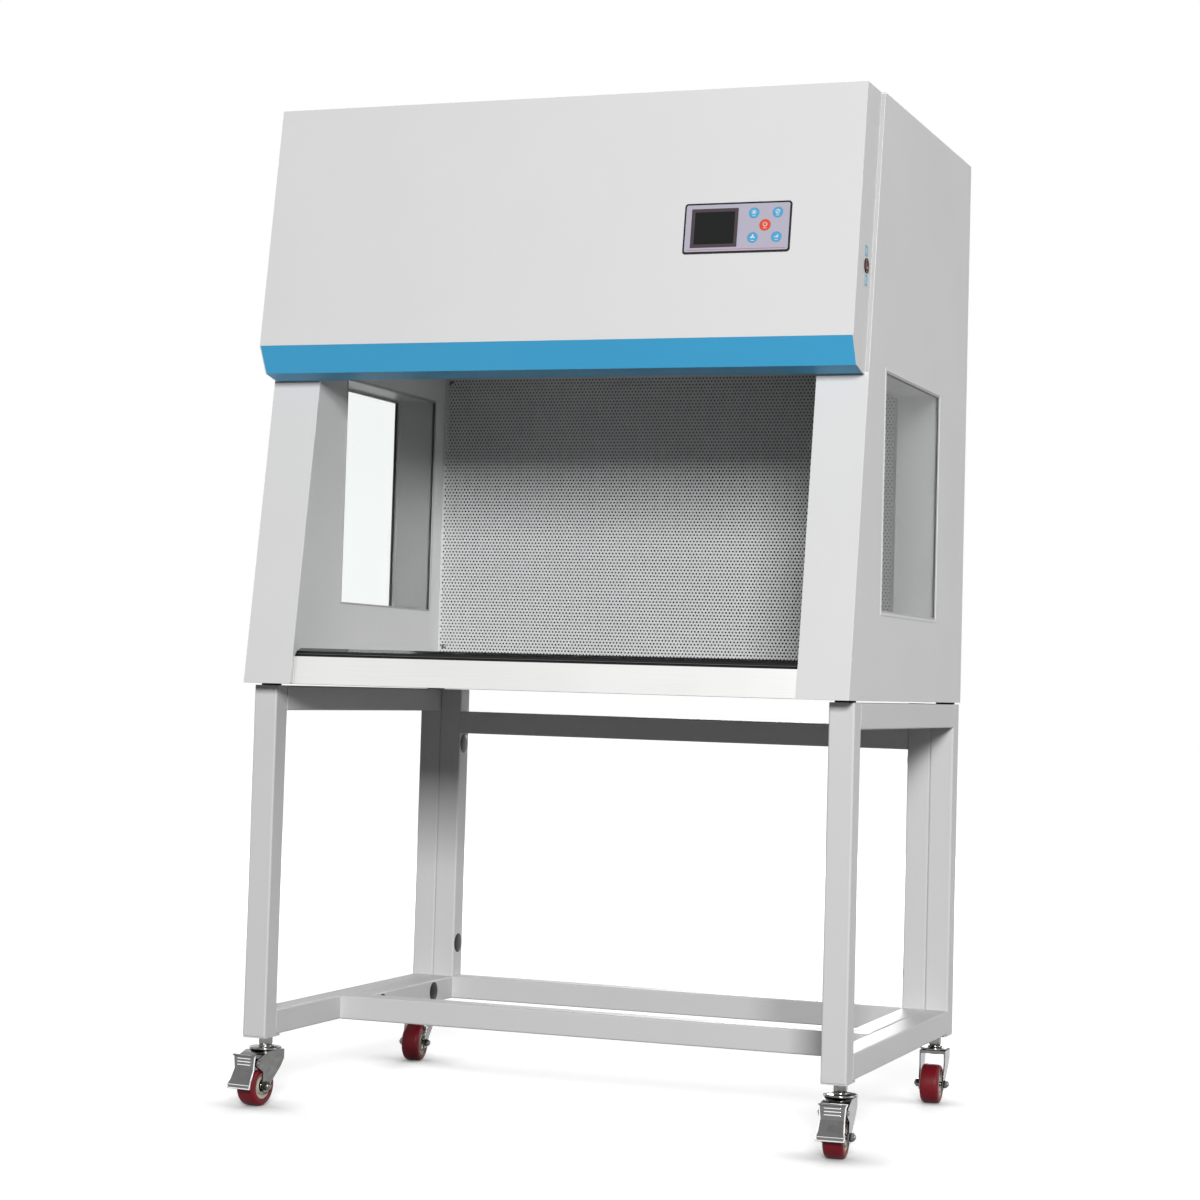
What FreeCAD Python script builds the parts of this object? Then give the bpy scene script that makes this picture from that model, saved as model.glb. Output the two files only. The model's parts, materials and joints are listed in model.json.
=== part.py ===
# Horizontal laminar flow cabinet on a castored stand, as separate solids, in millimetres.
# +Z is up and the floor is z = 0. The open front faces -Y and +X is at the viewer's right.
# A block or rod that cuts runs 1 mm past each face that it opens.
import FreeCAD, Part
import os
import re
import Sketcher
from FreeCAD import Placement, Rotation, Vector

SIZES = {
    # cabinet body: a box with a vertical rear and a front that leans back
    "cab_width": 1000,
    "cab_depth": 750,
    "top_setback": 138,
    "cab_height": 938,
    "side_thick": 82,
    "sheet": 1.5,
    "roof_rise": 560,
    # side windows, from the rear face and from the underside
    "window_rear_gap": 203,
    "window_long": 370,
    "window_low": 135,
    "window_tall": 377,
    "glass_thick": 5,
    "gasket_thick": 8,
    "gasket_wide": 3,
    "gasket_proud": 0.6,
    "glass_bite": 2,
    "trim_wide": 3,
    "trim_proud": 1,
    "trim_deep": 10,
    # hood in front of the leaning face
    "hood_inset": 6.5,
    "hood_top_deep": 81,
    "hood_lean": 55.6,
    "hood_drop": 394.6,
    "band_back": 24.5,
    "band_tall": 42.4,
    "lip_back": 36.6,
    "lip_rise": 8,
    "fascia_thick": 1.2,
    "fascia_top_thick": 1.8,
    # worktop: apron, raised nose and work surface
    "apron_recess": 8,
    "apron_low": 0.6,
    "apron_top": 44.5,
    "nose_step_back": 6,
    "nose_step_rise": 7.5,
    "nose_bead": 1.2,
    "nose_back": 22,
    "nose_top": 58,
    "nose_flat": 8,
    "nose_slope": 8,
    "work_surface": 50,
    "ledge_drop": 4,
    "hem": 15,
    "fit_gap": 0.3,
    # air path behind the work space
    "diffuser_inset": 164,
    "diffuser_hem": 15,
    "filter_gap": 2,
    "filter_thick": 69,
    "filter_frame": 15,
    "media_thick": 50,
    "pleat_pitch": 20,
    "pleat_deep": 42,
    "pleat_mouth": 14,
    "base_flange": 30,
    # blower in the upper compartment
    "scroll_radius": 130,
    "scroll_wide": 160,
    "scroll_rear_gap": 10,
    "scroll_foot": 150,
    "outlet_deep": 64,
    "blower_sheet": 2,
    "inlet_radius": 82,
    "drum_radius": 100,
    "drum_wide": 120,
    "drum_ring": 14,
    "drum_plate": 3,
    "blade_count": 18,
    "blade_thick": 2,
    "shaft_radius": 6,
    "hub_radius": 16,
    "hub_long": 40,
    "run_gap": 0.05,
    "motor_radius": 45,
    "motor_long": 70,
    "shaft_in_motor": 56,
    "shaft_end_gap": 3.5,
    "motor_flange": 92,
    "motor_flange_thick": 3,
    "motor_arm": 24,
    # top intake and pre-filter
    "slot_long": 300,
    "slot_wide": 8,
    "slot_pitch": 18,
    "slot_count": 11,
    "slot_rear_gap": 240,
    "prefilter_thick": 20,
    "prefilter_margin": 20,
    # lamps under the chamber roof, behind the lip
    "lamp_radius": 8,
    "lamp_long": 560,
    "lamp_drop": 25,
    "work_lamp_back": 130,
    "uv_lamp_back": 175,
    "holder_thick": 20,
    "holder_wide": 26,
    # control panel on the hood, from its centre
    "panel_side_gap": 192.3,
    "panel_down": 226,
    "panel_long": 170.5,
    "panel_tall": 80,
    "panel_thick": 2.5,
    "panel_lap": 5,
    "screen_left": 73.6,
    "screen_long": 74.8,
    "screen_tall": 62,
    "screen_proud": 0.5,
    "screen_rim": 5.5,
    "screen_sink": 0.8,
    "board_back": 10.4,
    "board_thick": 1.6,
    "board_margin": 1,
    "standoff_radius": 2.5,
    "standoff_inset": 2.6,
    "standoff_inset_up": 2.1,
    "key_radius": 8.25,
    "red_key_radius": 9,
    "key_gap": 0.15,
    "key_proud": 0.6,
    "key_cap": 2,
    "key_stem_radius": 2,
    "key_travel": 0.5,
    "key_rest_gap": 0.2,
    "tact_tall": 2,
    "tact_half": 3,
    "key_column_left": 26,
    "key_column_right": 63.6,
    "key_row_high": 22,
    "key_row_low": 17,
    "red_key_x": 44.5,
    "red_key_up": 2.3,
    # mains switch on the hood's right cheek
    "switch_forward": 60,
    "switch_low": 281,
    "switch_rim_radius": 11.5,
    "switch_rim_proud": 2,
    "switch_barrel_radius": 9.9,
    "switch_hole_gap": 0.1,
    "switch_barrel_long": 22,
    "rocker_tall": 13,
    "rocker_wide": 9,
    "rocker_gap": 0.8,
    "rocker_side_gap": 0.3,
    "rocker_high": 2.6,
    "rocker_dip": 1.2,
    "rocker_deep": 3,
    "rocker_taper": 1,
    "rocker_well": 8,
    "rocker_tilt": 10,
    "rocker_pin_radius": 1.2,
    "rocker_pin_long": 1,
    "rocker_pivot_in": 0.5,
    # mains inlet on the rear
    "inlet_side_gap": 48,
    "inlet_rise": 640,
    "inlet_long": 47,
    "inlet_tall": 27,
    "inlet_flange_gap": 5,
    "inlet_proud": 2,
    "inlet_deep": 28,
    "inlet_wall": 3,
    "inlet_side_wall": 9,
    "inlet_well": 18,
    "blade_pin_long": 14,
    "blade_pin_wide": 4,
    "blade_pin_thick": 2,
    "blade_pin_pitch": 7,
    "blade_pin_stagger": 2.1,
    # panel screws
    "screw_radius": 4,
    "screw_proud": 2,
    "screw_inset": 12,
    # stand of square tube
    "floor_to_frame": 112,
    "frame_height": 562,
    "frame_width": 998,
    "frame_depth": 707.4,
    "frame_rear_inset": 4.3,
    "tube": 40,
    "tube_wall": 2,
    "pad_thick": 3,
    "pad_radius": 16,
    "crossbar_drop": 40,
    "base_frame_depth": 428.5,
    "plug_inset": 99,
    "bar_plug_rear": 85,
    "bar_plug_front": 43,
    "plug_radius": 17,
    "plug_dome": 2.5,
    "plug_crown_radius": 9.35,
    "plug_shoulder_radius": 15.3,
    "plug_shoulder": 1.5,
    "plug_edge": 0.4,
    "plug_skirt": 10,
    "plug_hole_radius": 14,
    "plug_wall": 2,
    "bolt_radius": 4,
    "bolt_gap": 0.5,
    "bolt_head_radius": 7.2,
    "bolt_head_tall": 5.5,
    "bolt_past_nut": 2,
    # casters
    "caster_inset": 24,
    "caster_plate": 3,
    "caster_plate_gap": 2,
    "caster_plate_reach": 15,
    "wheel_radius": 32.5,
    "wheel_wide": 32,
    "wheel_round": 6,
    "tread_inner": 21,
    "hub_wide": 30,
    "hub_dish": 4,
    "hub_rim": 2.5,
    "bearing_radius": 11,
    "bearing_wide": 7,
    "axle_radius": 4,
    "nut_radius": 7.5,
    "nut_tall": 5,
    "nut_dome": 4,
    "nut_crown": 2.6,
    "trail": 26,
    "fork_top": 87,
    "fork_plate": 5,
    "fork_half_top": 22,
    "fork_half_axle": 21,
    "fork_leg_thick": 2.5,
    "fork_shoulder": 62,
    "fork_blend": 6,
    "fork_knee_rise": 8,
    "fork_rear": 22,
    "fork_rear_low": 72,
    "fork_bend_back": 13,
    "fork_bend_up": 60,
    "fork_front": 24,
    "fork_lug": 10,
    "fork_lug_low": 6,
    "ear_forward": 50,
    "ear_height": 71,
    "ear_radius": 6,
    "disc_radius": 26,
    "disc_thick": 4,
    "disc_gap": 0.5,
    "kingpin_radius": 5,
    "rivet_radius": 9,
    "rivet_tall": 2.5,
    "stem_radius": 6,
    "stem_gap": 0.1,
    "stem_nut_radius": 10.9,
    "stem_collar_radius": 12.9,
    "stem_collar_tall": 2.5,
    "front_left_turn": -7,
    "front_right_turn": 4,
    "rear_left_turn": 5,
    "rear_right_turn": 3,
    # brake pedals on the front casters
    "pedal_half_wide": 22,
    "pedal_thick": 2,
    "pedal_ear_gap": 0.6,
    "pedal_face": 8,
    "pedal_top": 84,
    "pedal_top_lip": 4,
    "pedal_waist": 60,
    "pedal_knee": 44,
    "pedal_knee_out": 17,
    "pedal_toe": 37,
    "pedal_toe_out": 22,
    "pedal_low": 31,
    "pedal_bend": 1,
    "pedal_ear_above": 7.2,
    "pedal_ear_below": 10.8,
    "pedal_ear_back": 2,
    "pedal_ear_flat": 3,
    "shoe_half_wide": 9,
    "shoe_tall": 4,
    "shoe_gap": 1,
    "pin_radius": 2.5,
    "pin_head_radius": 4,
    "pin_head_crown": 2.8,
    "pin_head_tall": 2,
}

doc = FreeCAD.newDocument("laminar_flow_cabinet")
sheet = doc.addObject("Spreadsheet::Sheet", "dims")
for row, (alias, value) in enumerate(SIZES.items(), start=1):
    sheet.set("A%d" % row, alias)
    sheet.set("B%d" % row, str(value))
    sheet.setAlias("B%d" % row, alias)
doc.recompute()

nodes = []


def bound(text):
    """Expression in which each size's name points at its cell."""
    return re.sub(r"[a-z_]+", lambda word: "dims." + word[0] if word[0] in SIZES else word[0], text)


def number(text):
    return float(sheet.evalExpression(bound(text)))


def node(item, label):
    """Marks a finished sub-part: its label is its file's name."""
    item.Label = label
    nodes.append(item)
    return item


# Blocks, rods and booleans


def box(name, x, y, z):
    """Block between a low and a high bound on each axis."""
    block = doc.addObject("Part::Box", name)
    for side, axis, (low, high) in (("Length", "x", x), ("Width", "y", y), ("Height", "z", z)):
        block.setExpression("Placement.Base." + axis, bound(low))
        block.setExpression(side, bound(f"({high}) - ({low})"))
    return block


TURNS = {
    "x": Rotation(Vector(0, 1, 0), 90),
    "y": Rotation(Vector(1, 0, 0), -90),
    "z": Rotation(),
}


def rod(name, axis, start, radius, long):
    """Cylinder along an axis, from the point start."""
    part = doc.addObject("Part::Cylinder", name)
    part.Placement = Placement(Vector(), TURNS[axis])
    for letter, place in zip("xyz", start):
        part.setExpression("Placement.Base." + letter, bound(place))
    part.setExpression("Radius", bound(radius))
    part.setExpression("Height", bound(long))
    return part


def hexagon(name, axis, start, radius, long):
    """Six-sided nut or bolt head along an axis."""
    part = doc.addObject("Part::Prism", name)
    part.Polygon = 6
    part.Placement = Placement(Vector(), TURNS[axis])
    for letter, place in zip("xyz", start):
        part.setExpression("Placement.Base." + letter, bound(place))
    part.setExpression("Circumradius", bound(radius))
    part.setExpression("Height", bound(long))
    return part


def fuse(name, parts):
    joined = doc.addObject("Part::MultiFuse", name)
    joined.Shapes = parts
    return joined


def cut(name, base, tools):
    """Base less one or more tools."""
    result = doc.addObject("Part::Cut", name)
    result.Base = base
    result.Tool = tools[0] if len(tools) == 1 else fuse(name + "_tools", tools)
    return result


def group(name, parts):
    """Separate solids that share one node."""
    together = doc.addObject("Part::Compound", name)
    together.Links = parts
    return together


def seat(item, x="0", y="0", z="0", axis=Vector(0, 0, 1), angle="0"):
    """Places a part by expressions: a point, then a turn about an axis."""
    item.Placement = Placement(Vector(), Rotation(axis, 1))
    for letter, place in zip("xyz", (x, y, z)):
        item.setExpression("Placement.Base." + letter, bound(place))
    item.setExpression("Placement.Rotation.Angle", bound(angle))
    return item


# Bodies and sketches


def new_body(name):
    body = doc.addObject("PartDesign::Body", name)
    return body


def new_sketch(body, plane, name, offset="0"):
    """Sketch on one of the body's own origin planes, moved along its normal."""
    sketch = body.newObject("Sketcher::SketchObject", name)
    sketch.AttachmentSupport = [(next(o for o in body.Origin.OriginFeatures if o.Role == plane), "")]
    sketch.MapMode = "FlatFace"
    sketch.setExpression("AttachmentOffset.Base.z", bound(offset))
    return sketch


def hold(sketch, kind, geometry, point, text):
    """Distance of a point from the sketch's origin, bound to an expression."""
    index = sketch.addConstraint(Sketcher.Constraint(kind, -1, 1, geometry, point, number(text)))
    sketch.setExpression("Constraints[%d]" % index, bound(text))


def outline(sketch, corners):
    """Closed outline of straight lines with every corner held."""
    spots = [Vector(number(x), number(y), 0) for x, y in corners]
    first = sketch.GeometryCount
    count = len(spots)
    for i in range(count):
        sketch.addGeometry(Part.LineSegment(spots[i], spots[(i + 1) % count]))
    for i in range(count):
        sketch.addConstraint(Sketcher.Constraint("Coincident", first + i, 2, first + (i + 1) % count, 1))
    for i, (x, y) in enumerate(corners):
        hold(sketch, "DistanceX", first + i, 1, x)
        hold(sketch, "DistanceY", first + i, 1, y)
    return sketch


def rectangle(sketch, x, y):
    return outline(sketch, [(x[0], y[0]), (x[1], y[0]), (x[1], y[1]), (x[0], y[1])])


def circle(sketch, x, y, radius):
    middle = Vector(number(x), number(y), 0)
    index = sketch.addGeometry(Part.Circle(middle, Vector(0, 0, 1), number(radius)))
    hold(sketch, "DistanceX", index, 3, x)
    hold(sketch, "DistanceY", index, 3, y)
    held = sketch.addConstraint(Sketcher.Constraint("Radius", index, number(radius)))
    sketch.setExpression("Constraints[%d]" % held, bound(radius))
    return sketch


def pad(body, sketch, long, both_ways=False):
    feature = body.newObject("PartDesign::Pad", sketch.Name + "_pad")
    feature.Profile = sketch
    feature.setExpression("Length", bound(long))
    feature.Midplane = both_ways
    body.Tip = feature
    return feature


def pocket(body, sketch, long, both_ways=False, forward=False):
    """Cut against the sketch's normal, or along it when forward."""
    feature = body.newObject("PartDesign::Pocket", sketch.Name + "_pocket")
    feature.Profile = sketch
    feature.setExpression("Length", bound(long))
    feature.Midplane = both_ways
    feature.Reversed = forward
    body.Tip = feature
    return feature


def spin(body, sketch):
    """Full turn about the sketch's horizontal axis."""
    feature = body.newObject("PartDesign::Revolution", sketch.Name + "_turned")
    feature.Profile = sketch
    feature.ReferenceAxis = (sketch, ["H_Axis"])
    feature.Angle = 360
    body.Tip = feature
    return feature


# Named places

FRAME_LOW = "floor_to_frame"
FRAME_TOP = "(floor_to_frame + frame_height)"
CAB_LOW = "(floor_to_frame + frame_height + pad_thick)"
CAB_TOP = f"({CAB_LOW} + cab_height)"
REAR = "(cab_depth / 2)"
LEAN = "(top_setback / cab_height)"
WALL_IN = "(cab_width / 2 - side_thick)"
ROOF = f"({CAB_LOW} + roof_rise)"
DIFFUSER = "(cab_depth / 2 - diffuser_inset)"
FRAME_REAR = "(cab_depth / 2 - frame_rear_inset)"
FRAME_FRONT = f"({FRAME_REAR} - frame_depth)"
LEG_OUT = "(frame_width / 2)"
LEG_IN = "(frame_width / 2 - tube)"
POST_IN = "(frame_width / 2 - 2 * tube)"


def above(rise):
    """Height above the floor of a rise measured from the cabinet's underside."""
    return f"({CAB_LOW} + ({rise}))"


def front_at(rise):
    """Depth of the cabinet's leaning front at a rise above its underside."""
    return f"(-cab_depth / 2 + {LEAN} * ({rise}))"


def negative(text):
    return f"-({text})"


def both(text):
    """Span from minus a half-width to plus it."""
    return (negative(text), text)


def side_span(side, low, high):
    """Span on the left (-1) or right (1), between two distances from the middle."""
    return (low, high) if side > 0 else (negative(high), negative(low))


SIDES = (("left", -1), ("right", 1))

# Stand

LEG_X = "(frame_width / 2 - tube / 2)"
LEG_FRONT_Y = f"({FRAME_FRONT} + tube / 2)"
LEG_REAR_Y = f"({FRAME_REAR} - tube / 2)"
CASTER_FRONT_Y = f"({LEG_FRONT_Y} + caster_inset)"
CASTER_REAR_Y = f"({LEG_REAR_Y} - caster_inset)"
FRONT_PLATE_Y = (f"({FRAME_FRONT} + caster_plate_gap)", f"({FRAME_FRONT} + tube + caster_plate_reach)")
REAR_PLATE_Y = (f"({FRAME_REAR} - tube - caster_plate_reach)", f"({FRAME_REAR} - caster_plate_gap)")
PLATE_LOW = f"({FRAME_LOW} - caster_plate)"
BASE_FRONT = f"({FRAME_REAR} - base_frame_depth)"
BAR_MIDDLE = f"({FRAME_LOW} + tube / 2)"
JOINT_SPOTS = (
    (LEG_REAR_Y, f"({FRAME_TOP} - plug_inset)"),
    (LEG_REAR_Y, f"({FRAME_LOW} + plug_inset)"),
    (f"({FRAME_REAR} - tube - bar_plug_rear)", BAR_MIDDLE),
    (f"({BASE_FRONT} + tube + bar_plug_front)", BAR_MIDDLE),
)


def tube(name, spans, along, drills=()):
    """Square tube, open at its ends, with drilled holes."""
    inside = []
    for axis, (low, high) in zip("xyz", spans):
        grow = "tube_wall" if axis == along else "-tube_wall"
        inside.append((f"({low}) - ({grow})", f"({high}) + ({grow})"))
    return cut(name, box(name + "_outside", *spans), [box(name + "_bore", *inside), *drills])


def leg(name, side, y, drills=()):
    """Upright tube with a closed top, open at its foot."""
    x = side_span(side, LEG_IN, LEG_OUT)
    spans = (x, y, (FRAME_LOW, FRAME_TOP))
    inside = (
        (f"{x[0]} + tube_wall", f"{x[1]} - tube_wall"),
        (f"{y[0]} + tube_wall", f"{y[1]} - tube_wall"),
        (f"{FRAME_LOW} - 1", f"{FRAME_TOP} - tube_wall"),
    )
    return cut(name, box(name + "_outside", *spans), [box(name + "_bore", *inside), *drills])


def foot_plate(name, side, y, stem_y):
    """Plate under a leg and the low rail beside it, drilled for the caster's stem."""
    plate = box(name, side_span(side, LEG_IN, LEG_OUT), y, (PLATE_LOW, FRAME_LOW))
    middle = LEG_X if side > 0 else negative(LEG_X)
    start = (middle, stem_y, f"{PLATE_LOW} - 1")
    hole = rod(name + "_hole", "z", start, "stem_radius + stem_gap", "caster_plate + 2")
    return cut(name + "_drilled", plate, [hole])


def wall_drills(name, side, spots, radius, centre, half):
    """Holes across X through a wall at a distance from the middle."""
    x = f"{centre} - {half}" if side > 0 else f"-({centre}) - {half}"
    return [rod(f"{name}_{i}", "x", (x, y, z), radius, f"2 * {half}") for i, (y, z) in enumerate(spots)]


def side_frame(word, side):
    front = (FRAME_FRONT, f"({FRAME_FRONT} + tube)")
    rear = (f"({FRAME_REAR} - tube)", FRAME_REAR)
    between = (front[1], rear[0])
    x = side_span(side, LEG_IN, LEG_OUT)
    bolt_hole = "bolt_radius + bolt_gap"
    half = "(tube_wall + 1)"
    leg_drills = wall_drills(word + "_leg_drill", side, JOINT_SPOTS[:2], bolt_hole, LEG_IN, half)
    rail_drills = wall_drills(word + "_rail_drill", side, JOINT_SPOTS[2:], bolt_hole, LEG_IN, half)
    parts = [
        leg(word + "_front_leg", side, front),
        leg(word + "_rear_leg", side, rear, leg_drills),
        tube(word + "_top_rail", (x, between, (f"({FRAME_TOP} - tube)", FRAME_TOP)), "y"),
        tube(word + "_low_rail", (x, between, (FRAME_LOW, f"({FRAME_LOW} + tube)")), "y", rail_drills),
        foot_plate(word + "_front_plate", side, FRONT_PLATE_Y, CASTER_FRONT_Y),
        foot_plate(word + "_rear_plate", side, REAR_PLATE_Y, CASTER_REAR_Y),
    ]
    node(group(word + "_frame", parts), word + "_side_frame")


def centre_frame():
    rear = (f"({FRAME_REAR} - tube)", FRAME_REAR)
    low = (FRAME_LOW, f"({FRAME_LOW} + tube)")
    bar_top = f"({FRAME_TOP} - crossbar_drop)"
    parts = [
        tube("crossbar", (both(POST_IN), rear, (f"({bar_top} - tube)", bar_top)), "x"),
        tube("rear_bar", (both(POST_IN), rear, low), "x"),
        tube("front_bar", (both(LEG_IN), (BASE_FRONT, f"({BASE_FRONT} + tube)"), low), "x"),
    ]
    for word, side in SIDES:
        x = side_span(side, POST_IN, LEG_IN)
        half = "(tube_wall + 1)"
        for part, spots, y, z, along in (
            ("post", JOINT_SPOTS[:2], rear, (FRAME_LOW, FRAME_TOP), "z"),
            ("side_bar", JOINT_SPOTS[2:], (f"({BASE_FRONT} + tube)", rear[0]), low, "y"),
        ):
            name = f"{word}_{part}"
            drills = wall_drills(name + "_bolt", side, spots, "bolt_radius + bolt_gap", LEG_IN, half)
            drills += wall_drills(name + "_port", side, spots, "plug_hole_radius", POST_IN, half)
            parts.append(tube(name, (x, y, z), along, drills))
    node(group("centre_tubes", parts), "centre_frame")


def hole_plugs():
    """Domed cap over each port with a hollow skirt in it."""
    plugs = []
    for word, side in SIDES:
        for i, (y, z) in enumerate(JOINT_SPOTS):
            body = new_body(f"{word}_plug_{i}")
            sketch = new_sketch(body, "XY_Plane", f"{word}_plug_outline_{i}")
            skirt = "(plug_hole_radius - fit_gap)"
            outline(sketch, [
                ("0", "0"), ("plug_dome", "0"), ("plug_dome", "plug_crown_radius"),
                ("plug_shoulder", "plug_shoulder_radius"), ("plug_edge", "plug_radius"),
                ("0", "plug_radius"),
                ("0", skirt), ("-plug_skirt", skirt), ("-plug_skirt", f"{skirt} - plug_wall"),
                ("-plug_wall", f"{skirt} - plug_wall"), ("-plug_wall", "0"),
            ])
            spin(body, sketch)
            x = negative(POST_IN) if side < 0 else POST_IN
            seat(body, x, y, z, Vector(0, 0, 1), "0" if side < 0 else "180")
            plugs.append(body)
    node(group("plugs", plugs), "hole_plugs")


def frame_bolts():
    """Bolt, head in the post and nut in the leg, at each joint spot."""
    bolts = []
    for word, side in SIDES:
        for i, (y, z) in enumerate(JOINT_SPOTS):
            name = f"{word}_bolt_{i}"
            head_low = f"({LEG_IN} - tube_wall - bolt_head_tall)"
            nut_low = f"({LEG_IN} + tube_wall)"
            far = f"({nut_low} + bolt_head_tall + bolt_past_nut)"
            spans = (
                (hexagon, "head", "bolt_head_radius", head_low, "bolt_head_tall"),
                (rod, "shank", "bolt_radius", head_low, f"{far} - {head_low}"),
                (hexagon, "nut", "bolt_head_radius", nut_low, "bolt_head_tall"),
            )
            made = []
            for shape, word_part, radius, low, long in spans:
                x = low if side > 0 else f"-({low}) - ({long})"
                made.append(shape(f"{name}_{word_part}", "x", (x, y, z), radius, long))
            bolts.append(fuse(name, made))
    node(group("bolts", bolts), "frame_bolts")


def cabinet_pads():
    pads = []
    for word, side in SIDES:
        x = LEG_X if side > 0 else negative(LEG_X)
        for end, y in (("front", LEG_FRONT_Y), ("rear", LEG_REAR_Y)):
            pads.append(rod(f"{end}_{word}_pad", "z", (x, y, FRAME_TOP), "pad_radius", "pad_thick"))
    node(group("pads", pads), "cabinet_pads")


# Casters, each made about its stem with the wheel trailing to -Y

DISC_LOW = "(fork_top + disc_gap)"
DISC_TOP = "(fork_top + disc_gap + disc_thick)"
HALF_FLAT = "0.414"  # half side of an eight-sided end, as a share of its radius
ROUND_MIDDLE = "0.293"  # how far the middle of a round corner stands in, as a share of its radius


def caster_stem(name, x, y):
    """Round race plate, kingpin below, and above it the lock nut and the stem in the foot plate."""
    nut_low = f"({DISC_TOP} + stem_collar_tall)"
    parts = [
        rod(name + "_disc", "z", ("0", "0", DISC_LOW), "disc_radius", "disc_thick"),
        rod(name + "_kingpin", "z", ("0", "0", "fork_top - fork_plate - fit_gap - rivet_tall"),
            "kingpin_radius", "fork_plate + fit_gap + rivet_tall + disc_gap + disc_thick / 2"),
        rod(name + "_rivet", "z", ("0", "0", "fork_top - fork_plate - fit_gap - rivet_tall"),
            "rivet_radius", "rivet_tall"),
        rod(name + "_collar", "z", ("0", "0", DISC_TOP), "stem_collar_radius", "stem_collar_tall"),
        rod(name + "_thread", "z", ("0", "0", DISC_TOP), "stem_radius",
            f"{FRAME_LOW} - fit_gap - {DISC_TOP}"),
        hexagon(name + "_nut", "z", ("0", "0", nut_low), "stem_nut_radius", f"{PLATE_LOW} - {nut_low}"),
    ]
    return seat(fuse(name, parts), x, y)


def fork(name, braked):
    """Pressed fork: top plate, two legs that lean in to the axle, and brake ears."""
    body = new_body(name)
    side = new_sketch(body, "YZ_Plane", name + "_side")
    front_edge = [("-fork_front", "fork_top"), ("-fork_front", "fork_shoulder")]
    if braked:
        front_edge = [
            ("-fork_front", "fork_top"),
            (f"-ear_forward - ear_radius * {HALF_FLAT}", "ear_height + ear_radius"),
            ("-ear_forward - ear_radius", f"ear_height + ear_radius * {HALF_FLAT}"),
            ("-ear_forward - ear_radius", f"ear_height - ear_radius * {HALF_FLAT}"),
            (f"-ear_forward - ear_radius * {HALF_FLAT}", "ear_height - ear_radius"),
            ("-trail - fork_lug", "fork_shoulder - fork_blend"),
        ]
    outline(side, [
        ("fork_rear", "fork_top"), *front_edge,
        ("-trail - fork_lug", "wheel_radius"), ("-trail - fork_lug_low", "wheel_radius - fork_lug"),
        ("-trail + fork_lug_low", "wheel_radius - fork_lug"), ("-trail + fork_lug", "wheel_radius"),
        ("fork_bend_back", "fork_bend_up"), ("fork_rear", "fork_rear_low"),
    ])
    pad(body, side, "2 * fork_half_top", both_ways=True)
    slot = new_sketch(body, "XZ_Plane", name + "_slot")
    inner_top = "(fork_half_top - fork_leg_thick)"
    inner_low = "(fork_half_axle - fork_leg_thick)"
    knee = "(wheel_radius + fork_knee_rise)"
    shoulder = "(fork_shoulder + fork_blend)"
    outline(slot, [
        (negative(inner_low), "0"), (inner_low, "0"), (inner_low, knee), (inner_top, shoulder),
        (inner_top, "fork_top - fork_plate"), (negative(inner_top), "fork_top - fork_plate"),
        (negative(inner_top), shoulder), (negative(inner_low), knee),
    ])
    pocket(body, slot, "6 * fork_half_top", both_ways=True)
    for word, sign in (("left", "-1"), ("right", "1")):
        flank = new_sketch(body, "XZ_Plane", f"{name}_{word}_flank")
        outline(flank, [
            (f"{sign} * fork_half_axle", "0"), (f"{sign} * (fork_half_top + 1)", "0"),
            (f"{sign} * (fork_half_top + 1)", shoulder), (f"{sign} * fork_half_top", shoulder),
            (f"{sign} * fork_half_axle", knee),
        ])
        pocket(body, flank, "6 * fork_half_top", both_ways=True)
    pivot = new_sketch(body, "XY_Plane", name + "_pivot", "fork_top")
    circle(pivot, "0", "0", "kingpin_radius + run_gap")
    pocket(body, pivot, "fork_plate + 1")
    axle = new_sketch(body, "YZ_Plane", name + "_axle")
    circle(axle, "-trail", "wheel_radius", "axle_radius")
    if braked:
        circle(axle, "-ear_forward", "ear_height", "pin_radius")
    pocket(body, axle, "3 * fork_half_top", both_ways=True)
    return body


def axle_pin(name, braked):
    """Axle bolt with a domed nut at each end, and the brake pedal's pin."""
    body = new_body(name)
    sketch = new_sketch(body, "XY_Plane", name + "_outline")
    end = "(fork_half_axle + nut_tall + nut_dome)"
    nut = "(fork_half_axle + nut_tall)"
    outline(sketch, [
        (negative(end), "0"), (negative(end), "nut_crown"), (negative(nut), "nut_radius"),
        ("-fork_half_axle", "nut_radius"), ("-fork_half_axle", "axle_radius"),
        ("fork_half_axle", "axle_radius"), ("fork_half_axle", "nut_radius"), (nut, "nut_radius"),
        (end, "nut_crown"), (end, "0"),
    ])
    spin(body, sketch)
    seat(body, "0", "-trail", "wheel_radius")
    if not braked:
        return [body]
    pin = new_body(name + "_brake_pin")
    sketch = new_sketch(pin, "XY_Plane", name + "_brake_pin_outline")
    head = "fork_half_top"
    outline(sketch, [
        (f"-{head} - pin_head_tall", "0"), (f"-{head} - pin_head_tall", "pin_head_crown"),
        (negative(head), "pin_head_radius"), (negative(head), "pin_radius"), (head, "pin_radius"),
        (head, "pin_head_radius"), (f"{head} + pin_head_tall", "pin_head_crown"),
        (f"{head} + pin_head_tall", "0"),
    ])
    spin(pin, sketch)
    seat(pin, "0", "-ear_forward", "ear_height")
    return [body, pin]


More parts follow.
